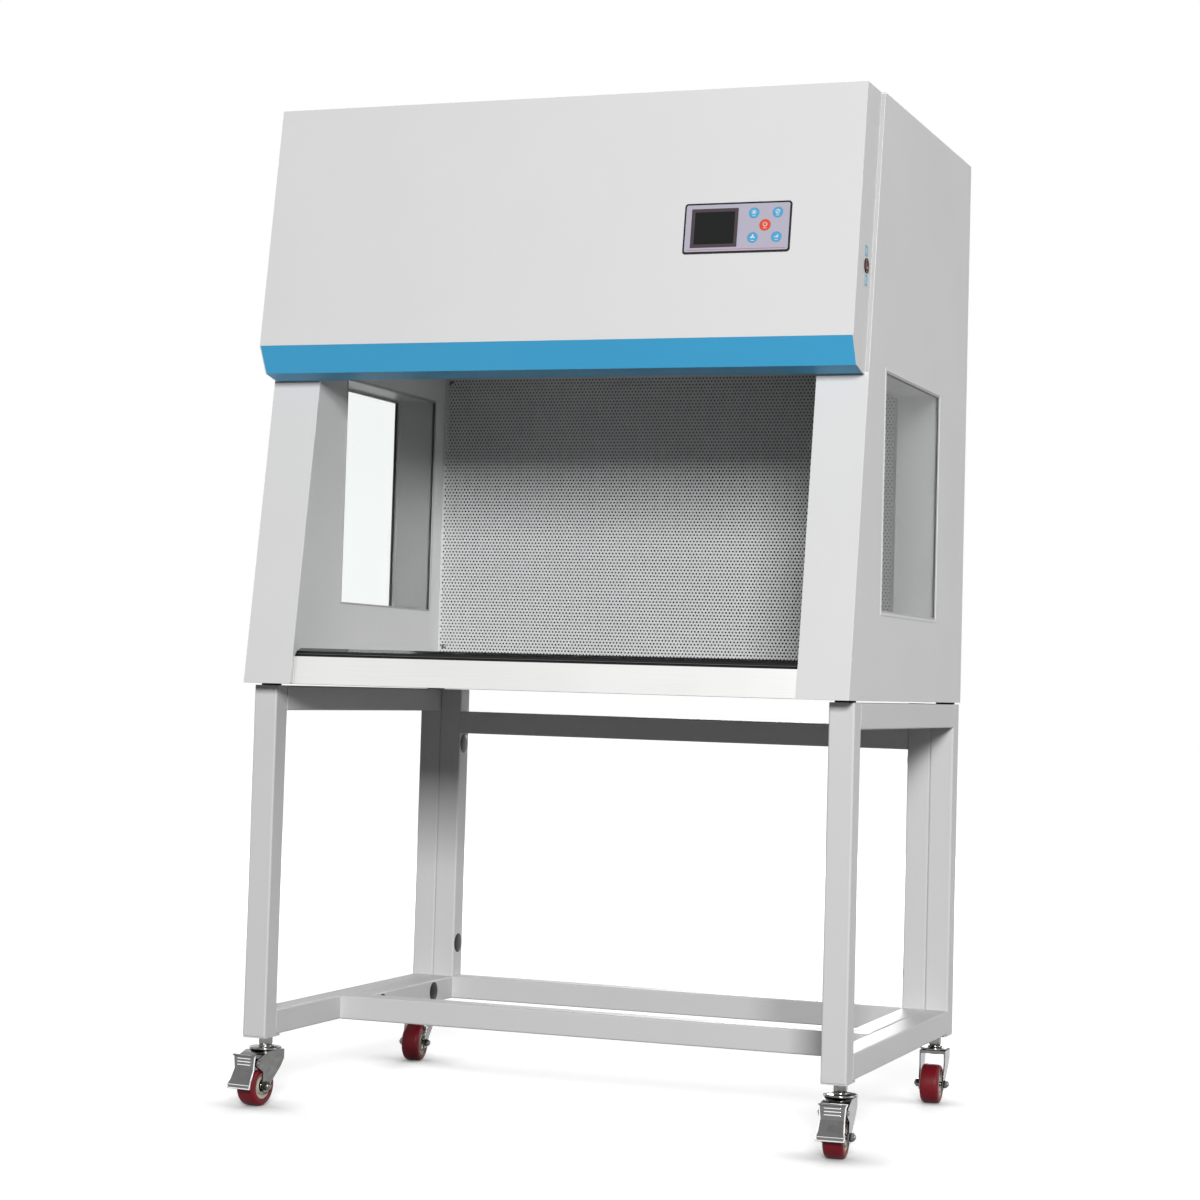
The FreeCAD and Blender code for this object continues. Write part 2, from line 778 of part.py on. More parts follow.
def tyre(name):
    """Cast tread with rounded shoulders."""
    body = new_body(name)
    sketch = new_sketch(body, "XY_Plane", name + "_outline")
    half = "(wheel_wide / 2)"
    outline(sketch, [
        (negative(half), "tread_inner"), (half, "tread_inner"), (half, "wheel_radius - wheel_round"),
        (f"{half} - wheel_round * {ROUND_MIDDLE}", f"wheel_radius - wheel_round * {ROUND_MIDDLE}"),
        (f"{half} - wheel_round", "wheel_radius"), (f"-{half} + wheel_round", "wheel_radius"),
        (f"-{half} + wheel_round * {ROUND_MIDDLE}", f"wheel_radius - wheel_round * {ROUND_MIDDLE}"),
        (negative(half), "wheel_radius - wheel_round"),
    ])
    spin(body, sketch)
    return seat(body, "0", "-trail", "wheel_radius")


def hub(name):
    """Dished core under the tread with a bearing pressed in each face."""
    body = new_body(name)
    sketch = new_sketch(body, "XY_Plane", name + "_outline")
    half = "(hub_wide / 2)"
    web = f"({half} - hub_dish)"
    seat_low = f"({half} - bearing_wide)"
    outline(sketch, [
        (negative(half), "bearing_radius"), (negative(half), "bearing_radius + hub_rim"),
        (negative(web), "bearing_radius + hub_rim"), (negative(web), "tread_inner - hub_rim"),
        (negative(half), "tread_inner - hub_rim"), (negative(half), "tread_inner"),
        (half, "tread_inner"), (half, "tread_inner - hub_rim"), (web, "tread_inner - hub_rim"),
        (web, "bearing_radius + hub_rim"), (half, "bearing_radius + hub_rim"), (half, "bearing_radius"),
        (seat_low, "bearing_radius"), (seat_low, "axle_radius + hub_rim"),
        (negative(seat_low), "axle_radius + hub_rim"), (negative(seat_low), "bearing_radius"),
    ])
    spin(body, sketch)
    parts = [body]
    for word, low in (("left", negative(half)), ("right", seat_low)):
        race = rod(f"{name}_{word}_race", "x", (low, "0", "0"), "bearing_radius", "bearing_wide")
        bore = rod(f"{name}_{word}_bore", "x", (f"{low} - 1", "0", "0"), "axle_radius + run_gap",
                   "bearing_wide + 2")
        parts.append(cut(f"{name}_{word}_bearing", race, [bore]))
    return seat(group(name + "_core", parts), "0", "-trail", "wheel_radius")


def pedal(name):
    """Pressed brake pedal: plate with toe lip, two ears inside the fork and a brake shoe."""
    face = "(ear_forward + pedal_face)"
    half = "(fork_half_top - fork_leg_thick - pedal_ear_gap)"
    ear_in = f"({half} - pedal_thick)"
    body = new_body(name)
    plate = new_sketch(body, "YZ_Plane", name + "_plate")
    outline(plate, [
        (f"-{face} - pedal_top_lip", "pedal_top"), (f"-{face}", "pedal_top"),
        (f"-{face}", "pedal_waist"), ("-ear_forward - pedal_knee_out", "pedal_knee"),
        ("-ear_forward - pedal_toe_out", "pedal_toe"), ("-ear_forward - pedal_toe_out", "pedal_low"),
        ("-ear_forward - pedal_toe_out - pedal_thick", "pedal_low"),
        ("-ear_forward - pedal_toe_out - pedal_thick", "pedal_toe + pedal_bend"),
        ("-ear_forward - pedal_knee_out - pedal_thick", "pedal_knee + pedal_bend"),
        (f"-{face} - pedal_thick", "pedal_waist + pedal_bend"),
        (f"-{face} - pedal_thick", "pedal_top - pedal_thick - pedal_bend"),
        (f"-{face} - pedal_top_lip", "pedal_top - pedal_thick"),
    ])
    pad(body, plate, "2 * pedal_half_wide", both_ways=True)
    ears = new_sketch(body, "YZ_Plane", name + "_ears")
    ear_low = "(ear_height - pedal_ear_below)"
    ear_top = "(ear_height + pedal_ear_above)"
    outline(ears, [
        (f"-{face} - pedal_thick / 2", ear_low), ("-ear_forward + pedal_ear_back", ear_low),
        ("-ear_forward + ear_radius", "ear_height - pedal_ear_flat"),
        ("-ear_forward + ear_radius", "ear_height + pedal_ear_flat"),
        ("-ear_forward + pedal_ear_back", ear_top), (f"-{face} - pedal_thick / 2", ear_top),
    ])
    pad(body, ears, f"2 * {half}", both_ways=True)
    gap = new_sketch(body, "YZ_Plane", name + "_gap")
    rectangle(gap, (f"-{face}", "-ear_forward + ear_radius + 1"), (f"{ear_low} - 1", f"{ear_top} + 1"))
    pocket(body, gap, f"2 * {ear_in}", both_ways=True)
    shoe = new_sketch(body, "YZ_Plane", name + "_shoe")
    shoe_low = "(pedal_waist + pedal_bend)"
    reach = (
        "(trail + shoe_gap + sqrt(wheel_radius * wheel_radius"
        f" - ({shoe_low} - wheel_radius) * ({shoe_low} - wheel_radius)))"
    )
    rectangle(shoe, (f"-{face} - pedal_thick / 2", negative(reach)), (shoe_low, f"{shoe_low} + shoe_tall"))
    pad(body, shoe, "2 * shoe_half_wide", both_ways=True)
    bore = new_sketch(body, "YZ_Plane", name + "_bore")
    circle(bore, "-ear_forward", "ear_height", "pin_radius + run_gap")
    pocket(body, bore, "3 * fork_half_top", both_ways=True)
    return body


def casters():
    places = (
        ("front_left", -1, CASTER_FRONT_Y, True, "front_left_turn"),
        ("front_right", 1, CASTER_FRONT_Y, True, "front_right_turn"),
        ("rear_left", -1, CASTER_REAR_Y, False, "rear_left_turn"),
        ("rear_right", 1, CASTER_REAR_Y, False, "rear_right_turn"),
    )
    stems = []
    for name, side, y, braked, turn in places:
        x = LEG_X if side > 0 else negative(LEG_X)
        stems.append(caster_stem(name + "_stem", x, y))
        made = {
            "_fork": group(name + "_fork_part", [fork(name + "_fork_body", braked)]),
            "_axle": group(name + "_axle_part", axle_pin(name + "_axle_body", braked)),
            "_tyre": group(name + "_tyre_part", [tyre(name + "_tyre_body")]),
            "_hub": group(name + "_hub_part", [hub(name + "_hub_body")]),
        }
        if braked:
            made["_brake_pedal"] = group(name + "_pedal_part", [pedal(name + "_pedal_body")])
        for ending, item in made.items():
            node(seat(item, x, y, "0", Vector(0, 0, 1), turn), name + ending)
    node(group("stems", stems), "caster_stems")


# Places on the hood

HOOD_HALF = "(cab_width / 2 - hood_inset)"
HOOD_TOP_Y = f"({front_at('cab_height')} - hood_top_deep)"
BAND_TOP_Y = f"({HOOD_TOP_Y} - hood_lean)"
BAND_TOP = "(cab_height - hood_drop)"
BAND_LOW_Y = f"({BAND_TOP_Y} + band_back)"
BAND_LOW = f"({BAND_TOP} - band_tall)"
LIP_Y = f"({BAND_LOW_Y} + lip_back)"
LIP_LOW = f"({BAND_LOW} - lip_rise)"
LEAN_OF_HOOD = "hood_lean / hood_drop"
HOOD_SLANT = "sqrt(hood_drop * hood_drop + hood_lean * hood_lean)"
PANEL_Z = above(f"cab_height - panel_down * hood_drop / {HOOD_SLANT}")
PANEL_Y = f"({HOOD_TOP_Y} - panel_down * hood_lean / {HOOD_SLANT})"
PANEL_TURN = "90 - atan(hood_lean / hood_drop) / 1deg"
PANEL_X = f"({HOOD_HALF} - panel_side_gap)"
SWITCH_Y = f"({front_at('cab_height - switch_low')} - switch_forward / 2)"
SWITCH_Z = above("cab_height - switch_low")

# Cabinet walls and windows

WINDOW_Y = (f"({REAR} - window_rear_gap - window_long)", f"({REAR} - window_rear_gap)")
WINDOW_Z = (above("window_low"), above("window_low + window_tall"))


def window(sketch, grow="0"):
    """Window opening, grown on every side."""
    y = (f"{WINDOW_Y[0]} - ({grow})", f"{WINDOW_Y[1]} + ({grow})")
    z = (f"{WINDOW_Z[0]} - ({grow})", f"{WINDOW_Z[1]} + ({grow})")
    return rectangle(sketch, y, z)


def from_side(side, inner, thick):
    """Sketch offset for a pad that starts at an inner distance and grows outwards."""
    return inner if side > 0 else f"-({inner}) - ({thick})"


def outer_panel(word, side):
    """Outer skin folded into the front post, underside, top and rear flanges."""
    body = new_body(word + "_outer_panel_body")
    whole = new_sketch(body, "YZ_Plane", word + "_outer_whole", from_side(side, WALL_IN, "side_thick"))
    outline(whole, [
        (front_at("0"), CAB_LOW), (REAR, CAB_LOW), (REAR, CAB_TOP), (front_at("cab_height"), CAB_TOP),
    ])
    pad(body, whole, "side_thick")
    wall = WALL_IN if side > 0 else negative(WALL_IN)
    inside = new_sketch(body, "YZ_Plane", word + "_outer_inside", wall)
    low, top = above("sheet"), above("cab_height - sheet")
    outline(inside, [
        (f"{front_at('sheet')} + sheet", low), (f"{REAR} - sheet", low), (f"{REAR} - sheet", top),
        (f"{front_at('cab_height - sheet')} + sheet", top),
    ])
    pocket(body, inside, "side_thick - sheet", forward=side > 0)
    skin_in = "(cab_width / 2 - sheet)"
    skin = skin_in if side > 0 else negative(skin_in)
    opening = new_sketch(body, "YZ_Plane", word + "_outer_window", skin)
    window(opening)
    pocket(body, opening, "sheet + 1", forward=side > 0)
    node(body, word + "_outer_panel")


def inner_liner(word, side):
    """Inner skin of the work space with the window's four jambs."""
    body = new_body(word + "_inner_liner_body")
    plate = new_sketch(body, "YZ_Plane", word + "_liner_plate", from_side(side, WALL_IN, "sheet"))
    low = above("sheet")
    outline(plate, [
        (f"{front_at('sheet')} + sheet", low), (f"{REAR} - sheet", low), (f"{REAR} - sheet", ROOF),
        (f"{front_at('roof_rise')} + sheet", ROOF),
    ])
    pad(body, plate, "sheet")
    jamb = new_sketch(body, "YZ_Plane", word + "_liner_jamb", from_side(side, WALL_IN, "side_thick - sheet"))
    window(jamb, "sheet")
    pad(body, jamb, "side_thick - sheet")
    wall = WALL_IN if side > 0 else negative(WALL_IN)
    opening = new_sketch(body, "YZ_Plane", word + "_liner_window", wall)
    window(opening)
    pocket(body, opening, "side_thick + 1", forward=side > 0)
    node(body, word + "_inner_liner")


def ring(name, side, inner, thick, grow_out, grow_in):
    """Flat frame round the window opening."""
    body = new_body(name)
    sketch = new_sketch(body, "YZ_Plane", name + "_outline", from_side(side, inner, thick))
    window(sketch, grow_out)
    window(sketch, grow_in)
    pad(body, sketch, thick)
    return body


def windows():
    """Double glazing: a pane flush with each face of the wall, in its gasket, and an outer trim."""
    panes, gaskets, trims = [], [], []
    levels = (
        ("inner", WALL_IN, "gasket_proud", "0"),
        ("outer", "(cab_width / 2 - gasket_thick)", "0", "sheet"),
    )
    for word, side in SIDES:
        for level, start, proud, inset in levels:
            name = f"{word}_{level}"
            glass_in = f"({start} + (gasket_thick - glass_thick) / 2)"
            pane = new_body(name + "_pane_body")
            plane_at = from_side(side, glass_in, "glass_thick")
            sketch = new_sketch(pane, "YZ_Plane", name + "_pane_outline", plane_at)
            window(sketch, f"glass_bite - gasket_wide - {inset}")
            pad(pane, sketch, "glass_thick")
            panes.append(pane)
            rubber = ring(name + "_gasket_ring", side, f"{start} - {proud}",
                          f"(gasket_thick + {proud})", f"-{inset}", f"-{inset} - gasket_wide")
            slot = ring(name + "_gasket_slot", side, glass_in, "glass_thick",
                        f"glass_bite - gasket_wide - {inset}", f"-{inset} - gasket_wide - 1")
            gaskets.append(cut(name + "_gasket", rubber, [slot]))
        face = ring(word + "_trim_face", side, "cab_width / 2", "trim_proud", "trim_wide", "-sheet")
        sleeve = ring(word + "_trim_sleeve", side, "cab_width / 2 - trim_deep", "trim_deep", "0", "-sheet")
        trims.append(fuse(word + "_trim", [face, sleeve]))
    node(group("panes", panes), "side_windows")
    node(group("gaskets", gaskets), "window_gaskets")
    node(group("trims", trims), "window_trims")


# Work space and air path

APRON_LOW_Y = f"({front_at('apron_low')} + apron_recess)"
APRON_TOP_Y = f"({front_at('apron_top')} + apron_recess)"


def base_tray():
    x = both(WALL_IN)
    y = (f"({APRON_LOW_Y} + hem)", f"({REAR} - sheet)")
    z = (CAB_LOW, above("base_flange"))
    inside = (
        (f"{x[0]} + sheet", f"{x[1]} - sheet"), (f"{y[0]} + sheet", f"{y[1]} - sheet"),
        (above("sheet"), f"{z[1]} + 1"),
    )
    node(cut("base", box("base_block", x, y, z), [box("base_hollow", *inside)]), "base_tray")


def worktop():
    """Work surface with a raised nose and front apron, and a ledge that carries the diffuser."""
    body = new_body("worktop_body")
    side = new_sketch(body, "YZ_Plane", "worktop_side")
    rear = f"({DIFFUSER} + hem)"
    under = "(work_surface - sheet)"
    ledge = "(work_surface - ledge_drop)"
    ledge_y = f"({DIFFUSER} - fit_gap)"
    outline(side, [
        (APRON_LOW_Y, above("apron_low")),
        (APRON_TOP_Y, above("apron_top")),
        (f"{APRON_TOP_Y} + nose_step_back", above("apron_top + nose_step_rise")),
        (f"{APRON_TOP_Y} + nose_step_back + nose_bead", above("apron_top + nose_step_rise + nose_bead")),
        (f"{APRON_TOP_Y} + nose_back", above("nose_top")),
        (f"{APRON_TOP_Y} + nose_back + nose_flat", above("nose_top")),
        (f"{APRON_TOP_Y} + nose_back + nose_flat + nose_slope", above("work_surface")),
        (ledge_y, above("work_surface")),
        (ledge_y, above(ledge)),
        (rear, above(ledge)),
        (rear, above(f"{ledge} - sheet")),
        (f"{ledge_y} - sheet", above(f"{ledge} - sheet")),
        (f"{ledge_y} - sheet", above(under)),
        (f"{APRON_TOP_Y} + nose_step_back + sheet", above(under)),
        (f"{APRON_TOP_Y} + sheet", above("apron_top - sheet")),
        (f"{APRON_LOW_Y} + sheet", above("apron_low + sheet")),
        (f"{APRON_LOW_Y} + hem", above("apron_low + sheet")),
        (f"{APRON_LOW_Y} + hem", above("apron_low")),
    ])
    pad(body, side, f"2 * ({WALL_IN} - fit_gap)", both_ways=True)
    node(body, "worktop")


def diffuser_panel():
    x = both(f"({WALL_IN} - fit_gap)")
    y = (DIFFUSER, f"({DIFFUSER} + diffuser_hem)")
    z = (above("work_surface - ledge_drop"), ROOF)
    inside = (
        (f"{x[0]} + sheet", f"{x[1]} - sheet"), (f"{y[0]} + sheet", f"{y[1]} + 1"),
        (f"{z[0]} + sheet", f"{z[1]} - sheet"),
    )
    plate = box("diffuser_block", x, y, z)
    node(cut("diffuser", plate, [box("diffuser_hollow", *inside)]), "diffuser_panel")


INLET_X = f"({WALL_IN} - inlet_side_gap)"
FILTER_Y = f"({DIFFUSER} + diffuser_hem + filter_gap)"


def hepa_filter():
    """Sealed filter: a frame round a block of pleated media."""
    x = both(f"({WALL_IN} - sheet - fit_gap)")
    y = (FILTER_Y, f"({FILTER_Y} + filter_thick)")
    z = (above("sheet"), ROOF)
    hollow = (
        (f"{x[0]} + filter_frame", f"{x[1]} - filter_frame"), (f"{y[0]} - 1", f"{y[1]} + 1"),
        (f"{z[0]} + filter_frame", f"{z[1]} - filter_frame"),
    )
    frame = cut("filter_case", box("filter_block", x, y, z), [box("filter_hollow", *hollow)])
    media = new_body("filter_media")
    plan = new_sketch(media, "XY_Plane", "media_plan", hollow[2][0])
    start = f"({FILTER_Y} + (filter_thick - media_thick) / 2)"
    rectangle(plan, hollow[0], (start, f"({start} + media_thick)"))
    pad(media, plan, f"({hollow[2][1]}) - ({hollow[2][0]})")
    groove = new_sketch(media, "XY_Plane", "media_groove", hollow[2][1])
    first = f"({hollow[0][0]} + pleat_pitch)"
    outline(groove, [
        (f"{first} - pleat_mouth / 2", f"{start} - 1"), (f"{first} + pleat_mouth / 2", f"{start} - 1"),
        (first, f"{start} + pleat_deep"),
    ])
    doc.recompute()
    cut_one = pocket(media, groove, f"({hollow[2][1]}) - ({hollow[2][0]})")
    doc.recompute()
    row = media.newObject("PartDesign::LinearPattern", "media_pleats")
    row.Originals = [cut_one]
    row.Direction = (groove, ["H_Axis"])
    span = f"({hollow[0][1]} - ({hollow[0][0]}))"
    row.setExpression("Occurrences", bound(f"floor({span} / pleat_pitch) - 1"))
    row.setExpression("Length", bound(f"(floor({span} / pleat_pitch) - 2) * pleat_pitch"))
    media.Tip = row
    node(group("filter", [frame, media]), "hepa_filter")


def rear_panel():
    x = both(WALL_IN)
    plate = box("rear_plate", x, (f"({REAR} - sheet)", REAR), (CAB_LOW, CAB_TOP))
    hole = box(
        "inlet_hole",
        (f"{INLET_X} - inlet_long / 2", f"{INLET_X} + inlet_long / 2"),
        (f"{REAR} - sheet - 1", f"{REAR} + 1"),
        (above("inlet_rise - inlet_tall / 2"), above("inlet_rise + inlet_tall / 2")),
    )
    node(cut("rear_cover", plate, [hole]), "rear_panel")


SLOT_FIRST = f"({REAR} - slot_rear_gap)"


def top_panel():
    """Flat lid with a row of intake slots."""
    body = new_body("top_panel_body")
    plate = new_sketch(body, "XY_Plane", "top_plate", f"{CAB_TOP} - sheet")
    rectangle(plate, both(WALL_IN), (f"{front_at('cab_height')}", f"{REAR} - sheet"))
    pad(body, plate, "sheet")
    slot = new_sketch(body, "XY_Plane", "top_slot", CAB_TOP)
    rectangle(slot, both("(slot_long / 2)"), (SLOT_FIRST, f"({SLOT_FIRST} + slot_wide)"))
    doc.recompute()
    one = pocket(body, slot, "sheet")
    doc.recompute()
    row = body.newObject("PartDesign::LinearPattern", "top_slots")
    row.Originals = [one]
    row.Direction = (slot, ["V_Axis"])
    row.Reversed = True
    row.setExpression("Occurrences", bound("slot_count"))
    row.setExpression("Length", bound("(slot_count - 1) * slot_pitch"))
    body.Tip = row
    node(body, "top_panel")


def prefilter():
    x = both("(slot_long / 2 + prefilter_margin)")
    low = f"({SLOT_FIRST} - (slot_count - 1) * slot_pitch - prefilter_margin)"
    y = (low, f"({SLOT_FIRST} + slot_wide + prefilter_margin)")
    z = (f"({CAB_TOP} - sheet - prefilter_thick)", f"({CAB_TOP} - sheet)")
    node(box("prefilter_pad", x, y, z), "prefilter")


SCROLL_Y = f"({REAR} - sheet - scroll_rear_gap - scroll_radius)"
SCROLL_Z = above("roof_rise + sheet + scroll_foot")
MOTOR_FACE = "(scroll_wide / 2 + motor_flange_thick)"


def chamber_roof():
    """Roof of the work space: it closes the hood from below and carries the blower."""
    z = (ROOF, f"({ROOF} + sheet)")
    front = front_at("roof_rise")
    hood_in = f"({HOOD_TOP_Y} - ({LEAN_OF_HOOD}) * (cab_height - roof_rise - sheet) + sheet + fit_gap)"
    plate = fuse("roof_plate", [
        box("roof_in_hood", both(f"({HOOD_HALF} - sheet - fit_gap)"), (hood_in, front), z),
        box("roof_middle", both(WALL_IN), (f"({front} - 1)", f"({REAR} - sheet)"), z),
        box("roof_over_liners", both(f"({WALL_IN} + sheet)"),
            (f"({front} + 2 * sheet)", f"({REAR} - sheet)"), z),
    ])
    rear = f"({SCROLL_Y} + scroll_radius - blower_sheet)"
    hole = box(
        "roof_port", both("(scroll_wide / 2 - blower_sheet)"), (f"{rear} - outlet_deep", rear),
        (f"{z[0]} - 1", f"{z[1]} + 1"),
    )
    node(cut("roof", plate, [hole]), "chamber_roof")


def blower_housing():
    """Round scroll with an outlet down its rear side and an inlet in each cheek."""
    half = "(scroll_wide / 2)"
    low = f"({ROOF} + sheet)"
    rear = f"({SCROLL_Y} + scroll_radius)"
    shell = fuse("scroll_outside", [
        rod("scroll_drum", "x", (negative(half), SCROLL_Y, SCROLL_Z), "scroll_radius", "scroll_wide"),
        box("scroll_duct", both(half), (f"{rear} - outlet_deep - 2 * blower_sheet", rear), (low, SCROLL_Z)),
    ])
    inner = f"({half} - blower_sheet)"
    hollows = [
        rod("scroll_bore", "x", (negative(inner), SCROLL_Y, SCROLL_Z), "scroll_radius - blower_sheet",
            f"2 * {inner}"),
        box("scroll_throat", both(inner), (f"{rear} - outlet_deep - blower_sheet", f"{rear} - blower_sheet"),
            (f"{low} - 1", SCROLL_Z)),
        rod("scroll_inlets", "x", (f"-{half} - 1", SCROLL_Y, SCROLL_Z), "inlet_radius", f"2 * {half} + 2"),
    ]
    node(cut("scroll", shell, hollows), "blower_housing")


def blower_impeller():
    """Double-inlet drum: centre plate, hub, two end rings, blades and the shaft."""
    wheel = new_body("impeller_body")
    plate = new_sketch(wheel, "YZ_Plane", "impeller_plate")
    circle(plate, "0", "0", "drum_radius")
    pad(wheel, plate, "drum_plate", both_ways=True)
    boss = new_sketch(wheel, "YZ_Plane", "impeller_boss")
    circle(boss, "0", "0", "hub_radius")
    pad(wheel, boss, "hub_long", both_ways=True)
    for word, sign in SIDES:
        start = "drum_wide / 2 - drum_plate" if sign > 0 else "-drum_wide / 2"
        rim = new_sketch(wheel, "YZ_Plane", f"impeller_{word}_ring", start)
        circle(rim, "0", "0", "drum_radius")
        circle(rim, "0", "0", "drum_radius - drum_ring")
        pad(wheel, rim, "drum_plate")
    vane = new_sketch(wheel, "YZ_Plane", "impeller_blade")
    rectangle(vane, ("drum_radius - drum_ring + blade_thick", "drum_radius - drum_plate"),
              both("(blade_thick / 2)"))
    doc.recompute()
    blade = pad(wheel, vane, "drum_wide - drum_plate", both_ways=True)
    doc.recompute()
    row = wheel.newObject("PartDesign::PolarPattern", "impeller_blades")
    row.Originals = [blade]
    row.Axis = (vane, ["N_Axis"])
    row.Angle = 360
    row.setExpression("Occurrences", bound("blade_count"))
    wheel.Tip = row
    doc.recompute()
    shaft = new_sketch(wheel, "YZ_Plane", "impeller_shaft")
    circle(shaft, "0", "0", "shaft_radius")
    pad(wheel, shaft, f"{MOTOR_FACE} + shaft_in_motor")
    seat(wheel, "0", SCROLL_Y, SCROLL_Z)
    node(wheel, "blower_impeller")


def blower_motor():
    """Motor on a flange that spans the right-hand inlet on four arms."""
    body = rod("motor_can", "x", (MOTOR_FACE, SCROLL_Y, SCROLL_Z), "motor_radius", "motor_long")
    start = "(scroll_wide / 2)"
    thick = "motor_flange_thick"
    x = (start, f"{start} + {thick}")

    def about(middle, half):
        return (f"{middle} - {half}", f"{middle} + {half}")

    arms = [
        box("motor_arm_upright", x, about(SCROLL_Y, "motor_arm / 2"), about(SCROLL_Z, "motor_flange")),
        box("motor_arm_level", x, about(SCROLL_Y, "motor_flange"), about(SCROLL_Z, "motor_arm / 2")),
    ]
    whole = fuse("motor_outside", [body, *arms])
    bore = rod("motor_bore", "x", (f"{start} - 1", SCROLL_Y, SCROLL_Z), "shaft_radius + run_gap",
               f"{thick} + shaft_in_motor + shaft_end_gap + 1")
    node(cut("motor", whole, [bore]), "blower_motor")


def lamps():
    """Work lamp and germicidal lamp, each held between two end blocks."""
    z = f"({ROOF} - lamp_drop)"
    holders = []
    for word, back in (("work", "work_lamp_back"), ("uv", "uv_lamp_back")):
        y = f"(-cab_depth / 2 + {back})"
        half = "(lamp_long / 2)"
        for end, side in SIDES:
            holders.append(box(
                f"{word}_{end}_holder", side_span(side, half, f"{half} + holder_thick"),
                (f"{y} - holder_wide / 2", f"{y} + holder_wide / 2"), (f"{z} - holder_wide / 2", ROOF),
            ))
        tube_part = rod(word + "_tube", "x", (negative(half), y, z), "lamp_radius", "lamp_long")
        node(tube_part, "work_lamp" if word == "work" else "uv_lamp")
    node(group("holders", holders), "lamp_holders")


# Hood


def hood_shell():
    """Folded hood: top, leaning face and two cheeks that stop at the body's leaning front."""
    body = new_body("hood_shell_body")
    side = new_sketch(body, "YZ_Plane", "hood_side")
    outline(side, [
        (front_at("cab_height"), CAB_TOP), (HOOD_TOP_Y, CAB_TOP), (BAND_TOP_Y, above(BAND_TOP)),
        (BAND_LOW_Y, above(BAND_LOW)), (LIP_Y, above(LIP_LOW)), (front_at(LIP_LOW), above(LIP_LOW)),
    ])
    pad(body, side, f"2 * {HOOD_HALF}", both_ways=True)
    inside = new_sketch(body, "YZ_Plane", "hood_inside")
    outline(inside, [
        (f"{front_at('cab_height')} + 1", f"{CAB_TOP} - sheet"),
        (f"{HOOD_TOP_Y} + sheet", f"{CAB_TOP} - sheet"),
        (f"{BAND_TOP_Y} + sheet", above(BAND_TOP)), (f"{BAND_TOP_Y} - 1", above(BAND_TOP)),
        (f"{BAND_TOP_Y} - 1", above(f"{LIP_LOW} - 1")),
        (f"{front_at(LIP_LOW)} + 1", above(f"{LIP_LOW} - 1")),
    ])
    pocket(body, inside, f"2 * ({HOOD_HALF} - sheet)", both_ways=True)
    opening = new_sketch(body, "XZ_Plane", "hood_panel_opening", f"-({front_at('cab_height')})")
    half_tall = "(panel_tall / 2 - panel_lap)"
    rectangle(
        opening,
        (f"{PANEL_X} - panel_long / 2 + panel_lap", f"{PANEL_X} + panel_long / 2 - panel_lap"),
        (f"{PANEL_Z} - {half_tall}", f"{PANEL_Z} + {half_tall}"),
    )
    pocket(body, opening, "hood_top_deep + 2 * hood_lean", forward=True)
    hole = new_sketch(body, "YZ_Plane", "hood_switch_hole", f"{HOOD_HALF} - sheet - 1")
    circle(hole, SWITCH_Y, SWITCH_Z, "switch_barrel_radius + switch_hole_gap")
    pocket(body, hole, "sheet + 2", forward=True)
    node(body, "hood_shell")


def hood_fascia():
    """Coloured strip between the cheeks: band and lip in one fold."""
    body = new_body("hood_fascia_body")
    side = new_sketch(body, "YZ_Plane", "fascia_side")
    outline(side, [
        (BAND_TOP_Y, above(BAND_TOP)), (BAND_LOW_Y, above(BAND_LOW)), (LIP_Y, above(LIP_LOW)),
        (f"{LIP_Y} + fascia_thick", above(f"{LIP_LOW} + fascia_thick")),
        (f"{BAND_LOW_Y} + fascia_thick", above(f"{BAND_LOW} + fascia_thick")),
        (f"{BAND_TOP_Y} + fascia_top_thick", above(BAND_TOP)),
    ])
    pad(body, side, f"2 * ({HOOD_HALF} - sheet)", both_ways=True)
    node(body, "hood_fascia")


# Control panel, made flat about its centre: x along, y up the slope, z outwards

KEYS = (
    ("light_key", "key_column_left", "key_row_high", "key_radius"),
    ("uv_key", "key_column_right", "key_row_high", "key_radius"),
    ("power_key", "red_key_x", "red_key_up", "red_key_radius"),
    ("fan_key", "key_column_left", "-key_row_low", "key_radius"),
    ("speed_key", "key_column_right", "-key_row_low", "key_radius"),
)
SCREEN_X = ("-screen_left", "(screen_long - screen_left)")
SCREEN_Y = both("(screen_tall / 2)")
KEY_STEM_END = "(-board_back + tact_tall + key_travel + key_rest_gap)"


def on_panel(item):
    """Seats a flat part on the hood's leaning face."""
    return seat(item, PANEL_X, PANEL_Y, PANEL_Z, Vector(1, 0, 0), PANEL_TURN)


def control_panel():
    body = new_body("control_panel_body")
    plan = new_sketch(body, "XY_Plane", "panel_plan")
    rectangle(plan, both("(panel_long / 2)"), both("(panel_tall / 2)"))
    pad(body, plan, "panel_thick")
    holes = new_sketch(body, "XY_Plane", "panel_holes", "panel_thick")
    rectangle(holes, SCREEN_X, SCREEN_Y)
    for name, x, y, radius in KEYS:
        circle(holes, x, y, f"{radius} + key_gap")
    pocket(body, holes, "panel_thick + 1")
    node(on_panel(body), "control_panel")


def display():
    """Screen module with a raised rim round its sunk window."""
    z = ("-board_back", "(panel_thick + screen_proud)")
    block = box("screen_block", SCREEN_X, SCREEN_Y, z)
    well = box(
        "screen_well", (f"{SCREEN_X[0]} + screen_rim", f"{SCREEN_X[1]} - screen_rim"),
        (f"{SCREEN_Y[0]} + screen_rim", f"{SCREEN_Y[1]} - screen_rim"),
        (f"{z[1]} - screen_sink", f"{z[1]} + 1"),
    )
    node(on_panel(cut("screen", block, [well])), "display")


